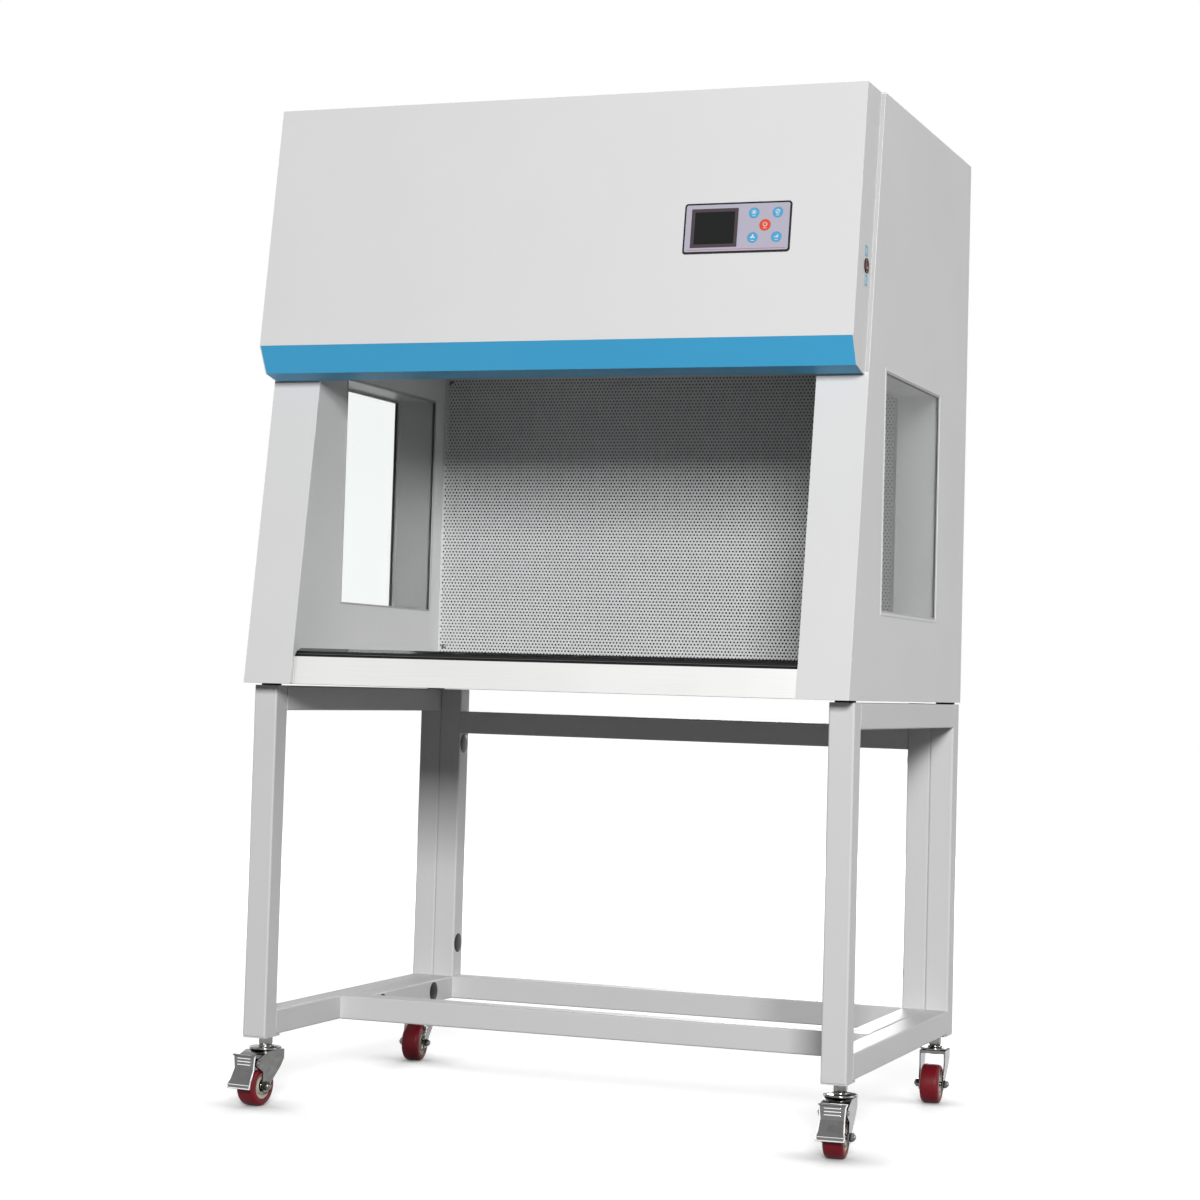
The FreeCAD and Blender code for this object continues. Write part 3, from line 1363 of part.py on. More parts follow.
def keys():
    """Round key caps with a stem that reaches back to a switch on the board."""
    for name, x, y, radius in KEYS:
        top = "(panel_thick + key_proud)"
        cap = rod(name + "_cap", "z", (x, y, f"{top} - key_cap"), radius, "key_cap")
        stem = rod(name + "_stem", "z", (x, y, KEY_STEM_END), "key_stem_radius",
                   f"{top} - key_cap / 2 - {KEY_STEM_END}")
        node(on_panel(fuse(name + "_whole", [cap, stem])), name)


def control_board():
    """Circuit board on four stand-offs, with a small switch behind each key."""
    half_long = "(panel_long / 2 - panel_lap - board_margin)"
    half_tall = "(panel_tall / 2 - panel_lap - board_margin)"
    front = "-board_back"
    parts = [box("board_plate", both(half_long), both(half_tall), (f"{front} - board_thick", front))]
    for word, side in SIDES:
        x = f"{half_long} - standoff_inset" if side > 0 else f"-({half_long} - standoff_inset)"
        for end, sign in (("low", "-1"), ("high", "1")):
            y = f"{sign} * ({half_tall} - standoff_inset_up)"
            parts.append(rod(f"standoff_{word}_{end}", "z", (x, y, front), "standoff_radius", "board_back"))
    for name, x, y, radius in KEYS:
        parts.append(box(name + "_switch", (f"{x} - tact_half", f"{x} + tact_half"),
                         (f"{y} - tact_half", f"{y} + tact_half"), (front, f"{front} + tact_tall")))
    node(on_panel(group("board", parts)), "control_board")


def mains_switch():
    """Round switch in the right cheek: rim and barrel with a well, and the rocker on its pins."""
    face = HOOD_HALF
    rim = rod("switch_rim", "x", (face, SWITCH_Y, SWITCH_Z), "switch_rim_radius", "switch_rim_proud")
    barrel = rod("switch_barrel", "x", (f"{face} - switch_barrel_long", SWITCH_Y, SWITCH_Z),
                 "switch_barrel_radius", "switch_barrel_long")
    pivot = f"({face} - rocker_pivot_in)"
    half_y = "(rocker_wide / 2 + rocker_side_gap)"
    half_z = "(rocker_tall / 2 + rocker_gap)"
    well = box(
        "switch_well", (f"{pivot} - rocker_well", f"{face} + switch_rim_proud + 1"),
        (f"{SWITCH_Y} - {half_y}", f"{SWITCH_Y} + {half_y}"),
        (f"{SWITCH_Z} - {half_z}", f"{SWITCH_Z} + {half_z}"),
    )
    pin_half = "(rocker_wide / 2 + rocker_pin_long)"
    sockets = rod("switch_sockets", "y", (pivot, f"{SWITCH_Y} - {pin_half} - run_gap", SWITCH_Z),
                  "rocker_pin_radius + run_gap", f"2 * ({pin_half} + run_gap)")
    node(cut("switch_case", fuse("switch_outside", [rim, barrel]), [well, sockets]), "switch_bezel")
    body = new_body("rocker_body")
    side = new_sketch(body, "XZ_Plane", "rocker_side")
    outline(side, [
        ("-rocker_deep", "-rocker_tall / 2 + rocker_taper"), ("rocker_high", "-rocker_tall / 2"),
        ("rocker_high - rocker_dip", "0"), ("rocker_high", "rocker_tall / 2"),
        ("-rocker_deep", "rocker_tall / 2 - rocker_taper"),
    ])
    pad(body, side, "rocker_wide", both_ways=True)
    pin = new_sketch(body, "XZ_Plane", "rocker_pin")
    circle(pin, "0", "0", "rocker_pin_radius")
    pad(body, pin, f"2 * {pin_half}", both_ways=True)
    seat(body, pivot, SWITCH_Y, SWITCH_Z, Vector(0, 1, 0), "-rocker_tilt")
    node(body, "switch_rocker")


def power_inlet():
    """Recessed mains inlet with three pins."""
    x = (f"({INLET_X} - inlet_long / 2)", f"({INLET_X} + inlet_long / 2)")
    z = (above("inlet_rise - inlet_tall / 2"), above("inlet_rise + inlet_tall / 2"))
    back = f"({REAR} + inlet_proud)"
    flange = box("inlet_flange", (f"{x[0]} - inlet_flange_gap", f"{x[1]} + inlet_flange_gap"), (REAR, back),
                 (f"{z[0]} - inlet_flange_gap", f"{z[1]} + inlet_flange_gap"))
    block = box("inlet_block", x, (f"({back} - inlet_deep)", back), z)
    well = box("inlet_recess", (f"{x[0]} + inlet_side_wall", f"{x[1]} - inlet_side_wall"),
               (f"{back} - inlet_well", f"{back} + 1"), (f"{z[0]} + inlet_wall", f"{z[1]} - inlet_wall"))
    shell = cut("inlet_shell", fuse("inlet_outside", [flange, block]), [well])
    pins = []
    for i, (across, up) in enumerate((("-1", "-1"), ("0", "1"), ("1", "-1"))):
        middle = f"({INLET_X} + {across} * blade_pin_pitch)"
        height = f"({above('inlet_rise')} + {up} * blade_pin_stagger)"
        pins.append(box(
            f"inlet_pin_{i}", (f"{middle} - blade_pin_thick / 2", f"{middle} + blade_pin_thick / 2"),
            (f"{back} - inlet_well - 1", f"{back} - inlet_well + blade_pin_long"),
            (f"{height} - blade_pin_wide / 2", f"{height} + blade_pin_wide / 2"),
        ))
    node(fuse("inlet", [shell, *pins]), "power_inlet")


def panel_screws():
    """Pan-head screws on the rear cover and the diffuser."""
    screws = []
    edge = f"({WALL_IN} - screw_inset)"
    rear_heights = (above("screw_inset"), above("roof_rise"), above("cab_height - screw_inset"))
    diffuser_heights = (above("work_surface + 2 * screw_inset"), above("roof_rise - screw_inset"))
    for word, side in SIDES:
        x = edge if side > 0 else negative(edge)
        for i, z in enumerate(rear_heights):
            screws.append(rod(f"rear_{word}_screw_{i}", "y", (x, REAR, z), "screw_radius", "screw_proud"))
        for i, z in enumerate(diffuser_heights):
            screws.append(rod(f"diffuser_{word}_screw_{i}", "y", (x, f"{DIFFUSER} - screw_proud", z),
                              "screw_radius", "screw_proud"))
    node(group("screws", screws), "panel_screws")


for word, side in SIDES:
    side_frame(word, side)
centre_frame()
hole_plugs()
frame_bolts()
cabinet_pads()
casters()
for word, side in SIDES:
    outer_panel(word, side)
    inner_liner(word, side)
windows()
base_tray()
worktop()
diffuser_panel()
hepa_filter()
rear_panel()
top_panel()
prefilter()
chamber_roof()
blower_housing()
blower_impeller()
blower_motor()
lamps()
hood_shell()
hood_fascia()
control_panel()
display()
keys()
control_board()
mains_switch()
power_inlet()
panel_screws()

doc.recompute()
for item in doc.Objects:
    if "Invalid" in item.State or "Error" in item.State:
        raise RuntimeError(f"{item.Name} did not build: {item.State}")
for item in nodes:
    if item.Shape.isNull() or not item.Shape.isValid():
        raise RuntimeError(f"{item.Label} has no valid shape")
os.makedirs("parts", exist_ok=True)
for item in nodes:
    item.Shape.exportStep(f"parts/{item.Label}.step")
print(len(nodes), "nodes written")
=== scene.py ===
import json
import math

import bmesh
import bpy
from mathutils import Matrix, Vector

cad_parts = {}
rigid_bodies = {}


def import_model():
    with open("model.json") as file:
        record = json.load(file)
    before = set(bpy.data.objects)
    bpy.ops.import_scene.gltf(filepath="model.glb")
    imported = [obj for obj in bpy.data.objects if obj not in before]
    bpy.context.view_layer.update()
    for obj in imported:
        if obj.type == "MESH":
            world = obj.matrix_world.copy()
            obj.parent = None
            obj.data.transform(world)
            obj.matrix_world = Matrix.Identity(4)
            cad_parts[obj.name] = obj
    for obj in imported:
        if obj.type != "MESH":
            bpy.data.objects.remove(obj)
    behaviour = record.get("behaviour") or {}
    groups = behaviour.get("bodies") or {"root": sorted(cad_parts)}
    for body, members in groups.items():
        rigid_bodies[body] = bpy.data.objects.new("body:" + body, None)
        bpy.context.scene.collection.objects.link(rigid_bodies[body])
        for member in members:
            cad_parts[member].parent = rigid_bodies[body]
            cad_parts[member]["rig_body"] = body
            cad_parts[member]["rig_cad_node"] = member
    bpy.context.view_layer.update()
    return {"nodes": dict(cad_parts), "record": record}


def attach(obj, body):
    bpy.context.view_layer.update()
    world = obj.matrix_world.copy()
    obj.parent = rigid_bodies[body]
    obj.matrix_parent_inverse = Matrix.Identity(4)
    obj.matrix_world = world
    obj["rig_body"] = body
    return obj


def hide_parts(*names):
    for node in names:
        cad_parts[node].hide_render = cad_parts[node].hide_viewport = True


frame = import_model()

# Horizontal laminar flow cabinet on a castored stand. Lengths in the calls are millimetres.
MM = 0.001
SLOT_OF = {part["node"]: part["material_slot"] for part in frame["record"]["subparts"]}


# Colours and materials


def srgb(code):
    """An sRGB hex value as the linear colour that the shader takes."""
    parts = [int(code[i:i + 2], 16) / 255 for i in (1, 3, 5)]
    return [c / 12.92 if c <= 0.04045 else ((c + 0.055) / 1.055) ** 2.4 for c in parts] + [1]


def add(tree, kind, inputs=None, **settings):
    """One node with its settings; an input is a value or another node's socket."""
    node = tree.nodes.new("ShaderNode" + kind)
    for name, value in settings.items():
        setattr(node, name, value)
    for name, value in (inputs or {}).items():
        if isinstance(value, bpy.types.NodeSocket):
            tree.links.new(value, node.inputs[name])
        else:
            node.inputs[name].default_value = value
    return node


def start(name, sockets):
    """New material whose constant values sit on the shader's own sockets."""
    made = bpy.data.materials.new(name)
    made.use_nodes = True
    shader = made.node_tree.nodes["Principled BSDF"]
    for socket, value in sockets.items():
        shader.inputs[socket].default_value = value
    return made, made.node_tree, shader


def powder_coat(name, colour, shade, roughness):
    # Polyester powder, sprayed and baked: an even satin skin, slightly cloudy over a hand's width.
    # Its orange peel is about 1.5 mm across; it is drawn at 5 mm so that it shows.
    made, tree, shader = start(name, {"IOR": 1.5, "Specular IOR Level": 0.2})
    place = add(tree, "TexCoord").outputs["Object"]
    cloud = add(tree, "TexNoise", {"Vector": place, "Scale": 1 / 0.18, "Detail": 3}).outputs[0]
    peel = add(tree, "TexNoise", {"Vector": place, "Scale": 1 / 0.005, "Detail": 1}).outputs[0]
    tint = add(tree, "Mix", {0: cloud, 6: srgb(colour), 7: srgb(shade)}, data_type="RGBA")
    gloss = add(tree, "MapRange", {"Value": cloud, "To Min": roughness - 0.04, "To Max": roughness + 0.04})
    bump = add(tree, "Bump", {"Height": peel, "Distance": 0.00004, "Strength": 0.5})
    tree.links.new(tint.outputs[2], shader.inputs["Base Color"])
    tree.links.new(gloss.outputs[0], shader.inputs["Roughness"])
    tree.links.new(bump.outputs[0], shader.inputs["Normal"])
    return made


def brushed_metal(name, colour, shade, roughness, grain):
    # Sheet metal brushed in one direction: bright, with fine streaks about 0.3 mm wide and a
    # soft stretched reflection. The streaks are drawn 1 mm wide so that they show.
    made, tree, shader = start(name, {"Metallic": 1})
    place = add(tree, "TexCoord").outputs["Object"]
    scale = [1 / 0.12 if axis == grain else 1 / 0.001 for axis in "xyz"]
    along = add(tree, "Mapping", {"Vector": place, "Scale": scale}).outputs[0]
    streak = add(tree, "TexNoise", {"Vector": along, "Scale": 1, "Detail": 2}).outputs[0]
    cloud = add(tree, "TexNoise", {"Vector": place, "Scale": 1 / 0.25, "Detail": 2}).outputs[0]
    mixed = add(tree, "Math", {0: streak, 1: cloud}, operation="MULTIPLY").outputs[0]
    tint = add(tree, "Mix", {0: streak, 6: srgb(colour), 7: srgb(shade)}, data_type="RGBA")
    gloss = add(tree, "MapRange", {"Value": mixed, "From Max": 0.5, "To Min": roughness - 0.06,
                                   "To Max": roughness + 0.1})
    bump = add(tree, "Bump", {"Height": streak, "Distance": 0.00001, "Strength": 0.4})
    tree.links.new(tint.outputs[2], shader.inputs["Base Color"])
    tree.links.new(gloss.outputs[0], shader.inputs["Roughness"])
    tree.links.new(bump.outputs[0], shader.inputs["Normal"])
    return made


def plated_steel(name, colour, shade, roughness, spangle):
    # Steel with a plated skin of zinc or chrome: metal with small cloudy patches and
    # a little unevenness from the pressing, both as large as the spangle.
    made, tree, shader = start(name, {"Metallic": 1})
    place = add(tree, "TexCoord").outputs["Object"]
    patch = add(tree, "TexVoronoi", {"Vector": place, "Scale": 1 / (spangle * MM)}).outputs["Color"]
    cloud = add(tree, "TexNoise", {"Vector": place, "Scale": 1 / 0.012, "Detail": 3}).outputs[0]
    level = add(tree, "Math", {0: patch, 1: cloud}, operation="MULTIPLY").outputs[0]
    tint = add(tree, "Mix", {0: level, 6: srgb(colour), 7: srgb(shade)}, data_type="RGBA")
    gloss = add(tree, "MapRange", {"Value": cloud, "To Min": roughness * 0.7, "To Max": roughness * 1.4})
    bump = add(tree, "Bump", {"Height": cloud, "Distance": 0.00012, "Strength": 0.5})
    tree.links.new(tint.outputs[2], shader.inputs["Base Color"])
    tree.links.new(gloss.outputs[0], shader.inputs["Roughness"])
    tree.links.new(bump.outputs[0], shader.inputs["Normal"])
    return made


def moulded(name, colour, shade, roughness, grain, depth=0.00003):
    # Moulded plastic, rubber or cast tread: one colour right through, with a fine
    # mould grain given in millimetres and slight changes of gloss where it flowed.
    made, tree, shader = start(name, {"IOR": 1.49, "Specular IOR Level": 0.25})
    place = add(tree, "TexCoord").outputs["Object"]
    flow = add(tree, "TexNoise", {"Vector": place, "Scale": 1 / 0.02, "Detail": 3}).outputs[0]
    skin = add(tree, "TexNoise", {"Vector": place, "Scale": 1 / (grain * MM), "Detail": 2}).outputs[0]
    tint = add(tree, "Mix", {0: flow, 6: srgb(colour), 7: srgb(shade)}, data_type="RGBA")
    gloss = add(tree, "MapRange", {"Value": flow, "To Min": roughness - 0.05, "To Max": roughness + 0.08})
    bump = add(tree, "Bump", {"Height": skin, "Distance": depth, "Strength": 0.5})
    tree.links.new(tint.outputs[2], shader.inputs["Base Color"])
    tree.links.new(gloss.outputs[0], shader.inputs["Roughness"])
    tree.links.new(bump.outputs[0], shader.inputs["Normal"])
    return made


def float_glass(name, colour, roughness):
    # Toughened glass with a low-reflection coating: clear, faint reflections, which the low refractive
    # index gives, and faint roller waves about 60 mm apart.
    made, tree, shader = start(name, {"Base Color": srgb(colour), "IOR": 1.08, "Roughness": roughness,
                                      "Transmission Weight": 1})
    place = add(tree, "TexCoord").outputs["Object"]
    wave = add(tree, "TexNoise", {"Vector": place, "Scale": 1 / 0.06, "Detail": 0}).outputs[0]
    bump = add(tree, "Bump", {"Height": wave, "Distance": 0.00002, "Strength": 0.3})
    tree.links.new(bump.outputs[0], shader.inputs["Normal"])
    return made


FINISH = {
    "cabinet_white": powder_coat("white_powder_coated_steel", "#E7E7E7", "#E2E2E2", 0.42),
    "hood_blue": powder_coat("sky_blue_powder_coated_steel", "#4FB8EA", "#49B1E4", 0.4),
    "bead_grey": moulded("extruded_grey_glazing_bead", "#C2C2C2", "#B8B8B8", 0.45, 0.5),
    "stand_grey": powder_coat("light_grey_powder_coated_tube", "#DDDDDD", "#D7D7D7", 0.45),
    "diffuser_white": powder_coat("grey_white_coated_perforated_sheet", "#D0D1D1", "#C8C9C9", 0.5),
    "work_steel": brushed_metal("brushed_stainless_steel_sheet", "#E6E6E5", "#D6D6D5", 0.3, "x"),
    # Nose and fold steel darker than the worktop's own steel: painted dark reflection of the shaded chamber above them.
    "nose_steel_painted_reflection": brushed_metal("polished_stainless_nose_painted_reflection", "#6C6C6B", "#5C5C5B", 0.12, "x"),
    "fold_steel_painted_reflection": brushed_metal("polished_stainless_fold_painted_reflection", "#333333", "#292929", 0.12, "x"),
    "trim_bright": brushed_metal("brushed_anodised_aluminium", "#EDEDEE", "#DEDEE0", 0.3, "z"),
    # Chrome lighter than the pressing's own: painted highlight on the brake pedals' rolled edges, fold and ribs.
    "rim_chrome_painted_highlight": plated_steel("chromed_rolled_edge_painted_highlight", "#F0F0F0", "#DADADA", 0.08, 9),
    "galvanised": plated_steel("hot_dip_galvanised_sheet", "#A9ADAF", "#8D9194", 0.42, 9),
    # Zinc and chrome given a darker grey than the metals' own: painted dark reflection of dark surroundings.
    "zinc_steel": plated_steel("zinc_plated_steel_painted_dark_reflection", "#7C7C7B", "#585857", 0.16, 8),
    "pedal_chrome": plated_steel("chromed_pressing_painted_dark_reflection", "#747474", "#5A5A5A", 0.1, 9),
    "black_rubber": moulded("extruded_black_rubber", "#161616", "#0F0F0F", 0.62, 0.5),
    "black_plastic": moulded("moulded_black_abs", "#121212", "#0C0C0C", 0.38, 0.4),
    "wheel_red": moulded("cast_dark_red_polyurethane", "#7E1622", "#6C101B", 0.42, 1.2),
    "hub_cream": moulded("moulded_cream_nylon", "#CFC8B6", "#BFB7A4", 0.42, 0.6),
    # Filter paper drawn mid grey, darker than its own white: painted shade, so that the perforated wall's holes in
    # front of it show dark.
    "filter_media": moulded("pleated_glass_fibre_paper_painted_shade", "#6E6D6A", "#64635F", 0.85, 0.8, 0.0002),
    "panel_grey": moulded("printed_lilac_grey_membrane", "#BDB8C9", "#B8B3C4", 0.45, 0.6),
    "screen_black": moulded("moulded_dark_bezel", "#4A4146", "#433A3F", 0.4, 0.4),
    "screen_glass": moulded("smoked_display_glass", "#0B0E0D", "#090B0B", 0.12, 4, 0.00001),
    "key_blue": moulded("gloss_blue_key_film", "#58AEDA", "#4FA6D4", 0.28, 0.6),
    "key_red": moulded("gloss_orange_red_key_film", "#E9563A", "#E04E33", 0.28, 0.6),
    "board_green": moulded("solder_masked_circuit_board", "#14502B", "#0F4424", 0.35, 0.6),
    "rocker_red": moulded("moulded_red_polycarbonate", "#C6201C", "#B51A17", 0.22, 0.6),
    "motor_dark": moulded("painted_cast_iron", "#3A3A3C", "#2F2F31", 0.55, 1.5, 0.0001),
    "lamp_glass": moulded("opal_coated_lamp_glass", "#F4F5F6", "#ECEEEF", 0.18, 3, 0.00001),
    "window_glass": float_glass("clear_toughened_glass", "#FCFEFD", 0.02),
    "white_print": moulded("white_screen_print", "#F5F5F5", "#ECECEC", 0.5, 0.6),
    "red_print": moulded("red_screen_print", "#B9505C", "#B04853", 0.5, 0.6),
    "pale_blue_print": moulded("pale_blue_film", "#8FC0D8", "#86B8D1", 0.45, 0.6),
    "brass": plated_steel("brass_contact", "#C9A653", "#B08E40", 0.25, 3),
}


# Modelling by hand


def alone(piece):
    """Deselects everything, then selects one piece and makes it active."""
    bpy.ops.object.select_all(action="DESELECT")
    piece.select_set(True)
    bpy.context.view_layer.objects.active = piece


def open_mesh(piece):
    alone(piece)
    bpy.ops.object.mode_set(mode="EDIT")
    bpy.ops.mesh.select_mode(type="FACE")
    bpy.ops.mesh.select_all(action="SELECT")


def pick(piece, kind, test):
    """Selects in edit mode the faces, edges or points whose middle, in mm, and direction pass a test."""
    bpy.ops.mesh.select_mode(type=kind)
    bpy.ops.mesh.select_all(action="DESELECT")
    mesh = bmesh.from_edit_mesh(piece.data)
    if kind == "FACE":
        found = [f for f in mesh.faces if test(f.calc_center_median() / MM, f.normal)]
    elif kind == "EDGE":
        found = []
        for e in mesh.edges:
            low, high = e.verts[0].co, e.verts[1].co
            if test((low + high) / 2 / MM, (high - low).normalized()):
                found.append(e)
    else:
        found = [v for v in mesh.verts if test(v.co / MM, v.normal)]
    for item in found:
        item.select_set(True)
    mesh.select_flush_mode()
    bmesh.update_edit_mesh(piece.data)


def block(name, low, high):
    """Block between two corners, its place already in its mesh."""
    middle = [(a + b) / 2 * MM for a, b in zip(low, high)]
    bpy.ops.object.select_all(action="DESELECT")
    bpy.ops.mesh.primitive_cube_add(size=1, location=middle)
    piece = bpy.context.object
    piece.name = name
    piece.scale = [(b - a) * MM for a, b in zip(low, high)]
    bpy.ops.object.transform_apply(location=True, rotation=True, scale=True)
    return piece


def turned(name, profile, steps=48, axis=(1, 0, 0)):
    """Shape turned about an axis from points (along, out), drawn by extruding one point."""
    along, out = Vector(axis), Vector((0, 0, 1)) if axis != (0, 0, 1) else Vector((1, 0, 0))
    spots = [(along * a + out * r) * MM for a, r in profile]
    bpy.ops.object.select_all(action="DESELECT")
    bpy.ops.mesh.primitive_plane_add(size=0.001)
    piece = bpy.context.object
    piece.name = name
    bpy.ops.object.mode_set(mode="EDIT")
    bpy.ops.mesh.select_mode(type="VERT")
    bpy.ops.mesh.select_all(action="SELECT")
    bpy.ops.mesh.merge(type="CENTER")
    bpy.ops.transform.translate(value=spots[0])
    for last, spot in zip(spots, spots[1:]):
        bpy.ops.mesh.extrude_vertices_move(TRANSFORM_OT_translate={"value": spot - last})
    bpy.ops.mesh.select_all(action="SELECT")
    bpy.ops.mesh.spin(steps=steps, angle=math.tau, center=(0, 0, 0), axis=axis)
    bpy.ops.mesh.select_all(action="SELECT")
    bpy.ops.mesh.remove_doubles(threshold=0.00001)
    bpy.ops.mesh.normals_make_consistent(inside=False)
    bpy.ops.object.mode_set(mode="OBJECT")
    return piece


def modify(piece, kind, **settings):
    """Adds a modifier with its settings and applies it."""
    alone(piece)
    modifier = piece.modifiers.new(kind.lower(), kind)
    for name, value in settings.items():
        setattr(modifier, name, value)
    bpy.ops.object.modifier_apply(modifier=modifier.name)


def soften(piece, width, segments=2, angle=28):
    """Breaks the sharp edges by a small radius."""
    modify(piece, "BEVEL", width=width * MM, segments=segments, limit_method="ANGLE",
           angle_limit=math.radians(angle), use_clamp_overlap=True)


def settle(piece, body, slot, nodes=(), place=None, finish=None):
    """Puts the place into the mesh, gives the finish and hangs the piece on its body."""
    alone(piece)
    if place:
        piece.matrix_world = place @ piece.matrix_world
    bpy.ops.object.transform_apply(location=True, rotation=True, scale=True)
    bpy.ops.object.shade_smooth_by_angle(angle=math.radians(32))
    modify(piece, "WEIGHTED_NORMAL", keep_sharp=True, weight=80)
    piece.data.materials.clear()
    piece.data.materials.append(FINISH[finish or slot])
    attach(piece, body)
    if nodes:
        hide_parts(*nodes)
    return piece


def copy_of(piece, name):
    """Copy with its own mesh."""
    made = bpy.data.objects.new(name, piece.data.copy())
    bpy.context.collection.objects.link(made)
    return made


def edged(node, width, finish=None, place=None, work=None, name=None):
    """The node's own shape with its edges broken; work is done on it first, in its place's frame."""
    source = frame["nodes"][node]
    piece = copy_of(source, name or node + "_edged")
    if place:
        piece.data.transform(place.inverted())
    open_mesh(piece)
    bpy.ops.mesh.customdata_custom_splitnormals_clear()
    bpy.ops.mesh.remove_doubles(threshold=0.000005)
    bpy.ops.mesh.dissolve_limited(angle_limit=math.radians(0.5))
    bpy.ops.object.mode_set(mode="OBJECT")
    if work:
        work(piece)
    if width:
        soften(piece, width)
    return settle(piece, source["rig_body"], SLOT_OF[node], [node], place, finish)


# Stand: square tube with rounded corners


def square_tube(node, name, low, high, along):
    piece = block(name, low, high)
    open_mesh(piece)
    axis = "xyz".index(along)
    pick(piece, "EDGE", lambda middle, way: abs(way[axis]) > 0.9)
    bpy.ops.mesh.bevel(offset=3 * MM, segments=4, affect="EDGES")
    pick(piece, "FACE", lambda middle, way: abs(way[axis]) > 0.9)
    bpy.ops.mesh.inset(thickness=2 * MM, depth=0)
    way = Vector([1 if i == axis else 0 for i in range(3)])
    for sign in (1, -1):
        end = high[axis] if sign > 0 else low[axis]
        pick(piece, "FACE", lambda middle, facing: facing[axis] * sign > 0.9
             and all(abs(middle[i] - (low[i] + high[i]) / 2) < 1 for i in range(3) if i != axis))
        bpy.ops.mesh.extrude_region_move(TRANSFORM_OT_translate={"value": way * -sign * 25 * MM})
    bpy.ops.object.mode_set(mode="OBJECT")
    return settle(piece, "cabinet", "stand_grey", [node])


SIDES = (("left", -1), ("right", 1))
# Distances from the middle plane of the side frames' outer and inner faces, and of the posts' inner face.
FRAME_OUT, FRAME_IN, POST_IN = 499, 459, 419
# Depth of the front legs, the rear legs and the front bar, front and rear face of each.
FRONT, REAR, BAR = (-336.7, -296.7), (330.7, 370.7), (-57.8, -17.8)
# Heights of the tubes: whole stand, lowest row, top rails, and the crossbar below them.
STAND, LOW_ROW, TOP_ROW, CROSS_ROW = (112, 674), (112, 152), (634, 674), (594, 634)

for word, side in SIDES:
    for node, x, rows in (
        (word + "_side_frame", sorted((side * FRAME_IN, side * FRAME_OUT)), (
            ("front_leg", FRONT, STAND, "z"), ("rear_leg", REAR, STAND, "z"),
            ("top_rail", (FRONT[1], REAR[0]), TOP_ROW, "y"), ("low_rail", (FRONT[1], REAR[0]), LOW_ROW, "y"),
        )),
        ("centre_frame", sorted((side * POST_IN, side * FRAME_IN)), (
            ("post", REAR, STAND, "z"), ("side_bar", (BAR[1], REAR[0]), LOW_ROW, "y"),
        )),
    ):
        for name, y, z, along in rows:
            square_tube(node, f"{word}_{name}", (x[0], y[0], z[0]), (x[1], y[1], z[1]), along)
for name, x, y, z in (
    ("crossbar", POST_IN, REAR, CROSS_ROW), ("rear_bar", POST_IN, REAR, LOW_ROW), ("front_bar", FRAME_IN, BAR, LOW_ROW),
):
    square_tube("centre_frame", name, (-x, y[0], z[0]), (x, y[1], z[1]), "x")


def foot_plate(node, name, low, high):
    """Caster plate under a leg, its corners cut by the shear and its edges broken."""
    piece = block(name, low, high)
    open_mesh(piece)
    pick(piece, "EDGE", lambda middle, way: abs(way.z) > 0.9)
    bpy.ops.mesh.bevel(offset=2 * MM, segments=2, affect="EDGES")
    bpy.ops.object.mode_set(mode="OBJECT")
    soften(piece, 0.4)
    return settle(piece, "cabinet", "stand_grey", [node])


PLATE_THICK = 3
for word, side in SIDES:
    x = sorted((side * FRAME_IN, side * FRAME_OUT))
    for end, y in (("front", (-334.7, -281.7)), ("rear", (315.7, 368.7))):
        foot_plate(word + "_side_frame", f"{word}_{end}_foot_plate",
                   (x[0], y[0], STAND[0] - PLATE_THICK), (x[1], y[1], STAND[0]))

plug = turned("plug", [(0, 0), (2.4, 0), (2.5, 4), (2.2, 9), (1.6, 13), (0.9, 15.6), (0.4, 17), (0, 17), (0, 13.7),
                       (-9, 13.7), (-10, 13), (-10, 12), (-2, 11.7), (-2, 0)])
for word, side in SIDES:
    for i, (y, z) in enumerate(((350.7, 575), (350.7, 211), (245.7, 132), (25.2, 132))):
        spot = Matrix.Translation(Vector((side * POST_IN, y, z)) * MM)
        turn = Matrix.Rotation(0 if side < 0 else math.pi, 4, "Z")
        settle(copy_of(plug, f"{word}_plug_{i}"), "cabinet", "black_plastic", ["hole_plugs"], spot @ turn)
bpy.data.objects.remove(plug)

# Cabinet

for node, width in (
    ("left_outer_panel", 1.2), ("right_outer_panel", 1.2), ("left_inner_liner", 0.7), ("right_inner_liner", 0.7),
    ("base_tray", 0.6), ("rear_panel", 0.5), ("top_panel", 0.4), ("chamber_roof", 0.4),
    ("hood_shell", 1.2), ("hood_fascia", 0.5), ("side_windows", 0.3), ("window_trims", 0.4),
    ("lamp_holders", 2), ("cabinet_pads", 0.5), ("prefilter", 1.5),
    ("switch_bezel", 0.5), ("switch_rocker", 0.4), ("power_inlet", 0.7), ("display", 0.5),
    ("blower_housing", 0.4), ("blower_motor", 1),
):
    edged(node, width)


def keeping(test):
    """Work on a mesh that deletes the faces for which the test doesn't hold."""
    def work(piece):
        open_mesh(piece)
        pick(piece, "FACE", lambda middle, way: not test(middle, way))
        bpy.ops.mesh.delete(type="FACE")
        bpy.ops.object.mode_set(mode="OBJECT")
    return work


# Halfway between the inner and the outer window panes, from the middle plane.
WALL_MIDDLE = 450
edged("window_gaskets", 0.3, "bead_grey", None, keeping(lambda middle, way: abs(middle.x) <= WALL_MIDDLE),
      "inner_window_beads")
edged("window_gaskets", 0.3, "bead_grey", None, keeping(lambda middle, way: abs(middle.x) >= WALL_MIDDLE),
      "outer_window_seals")

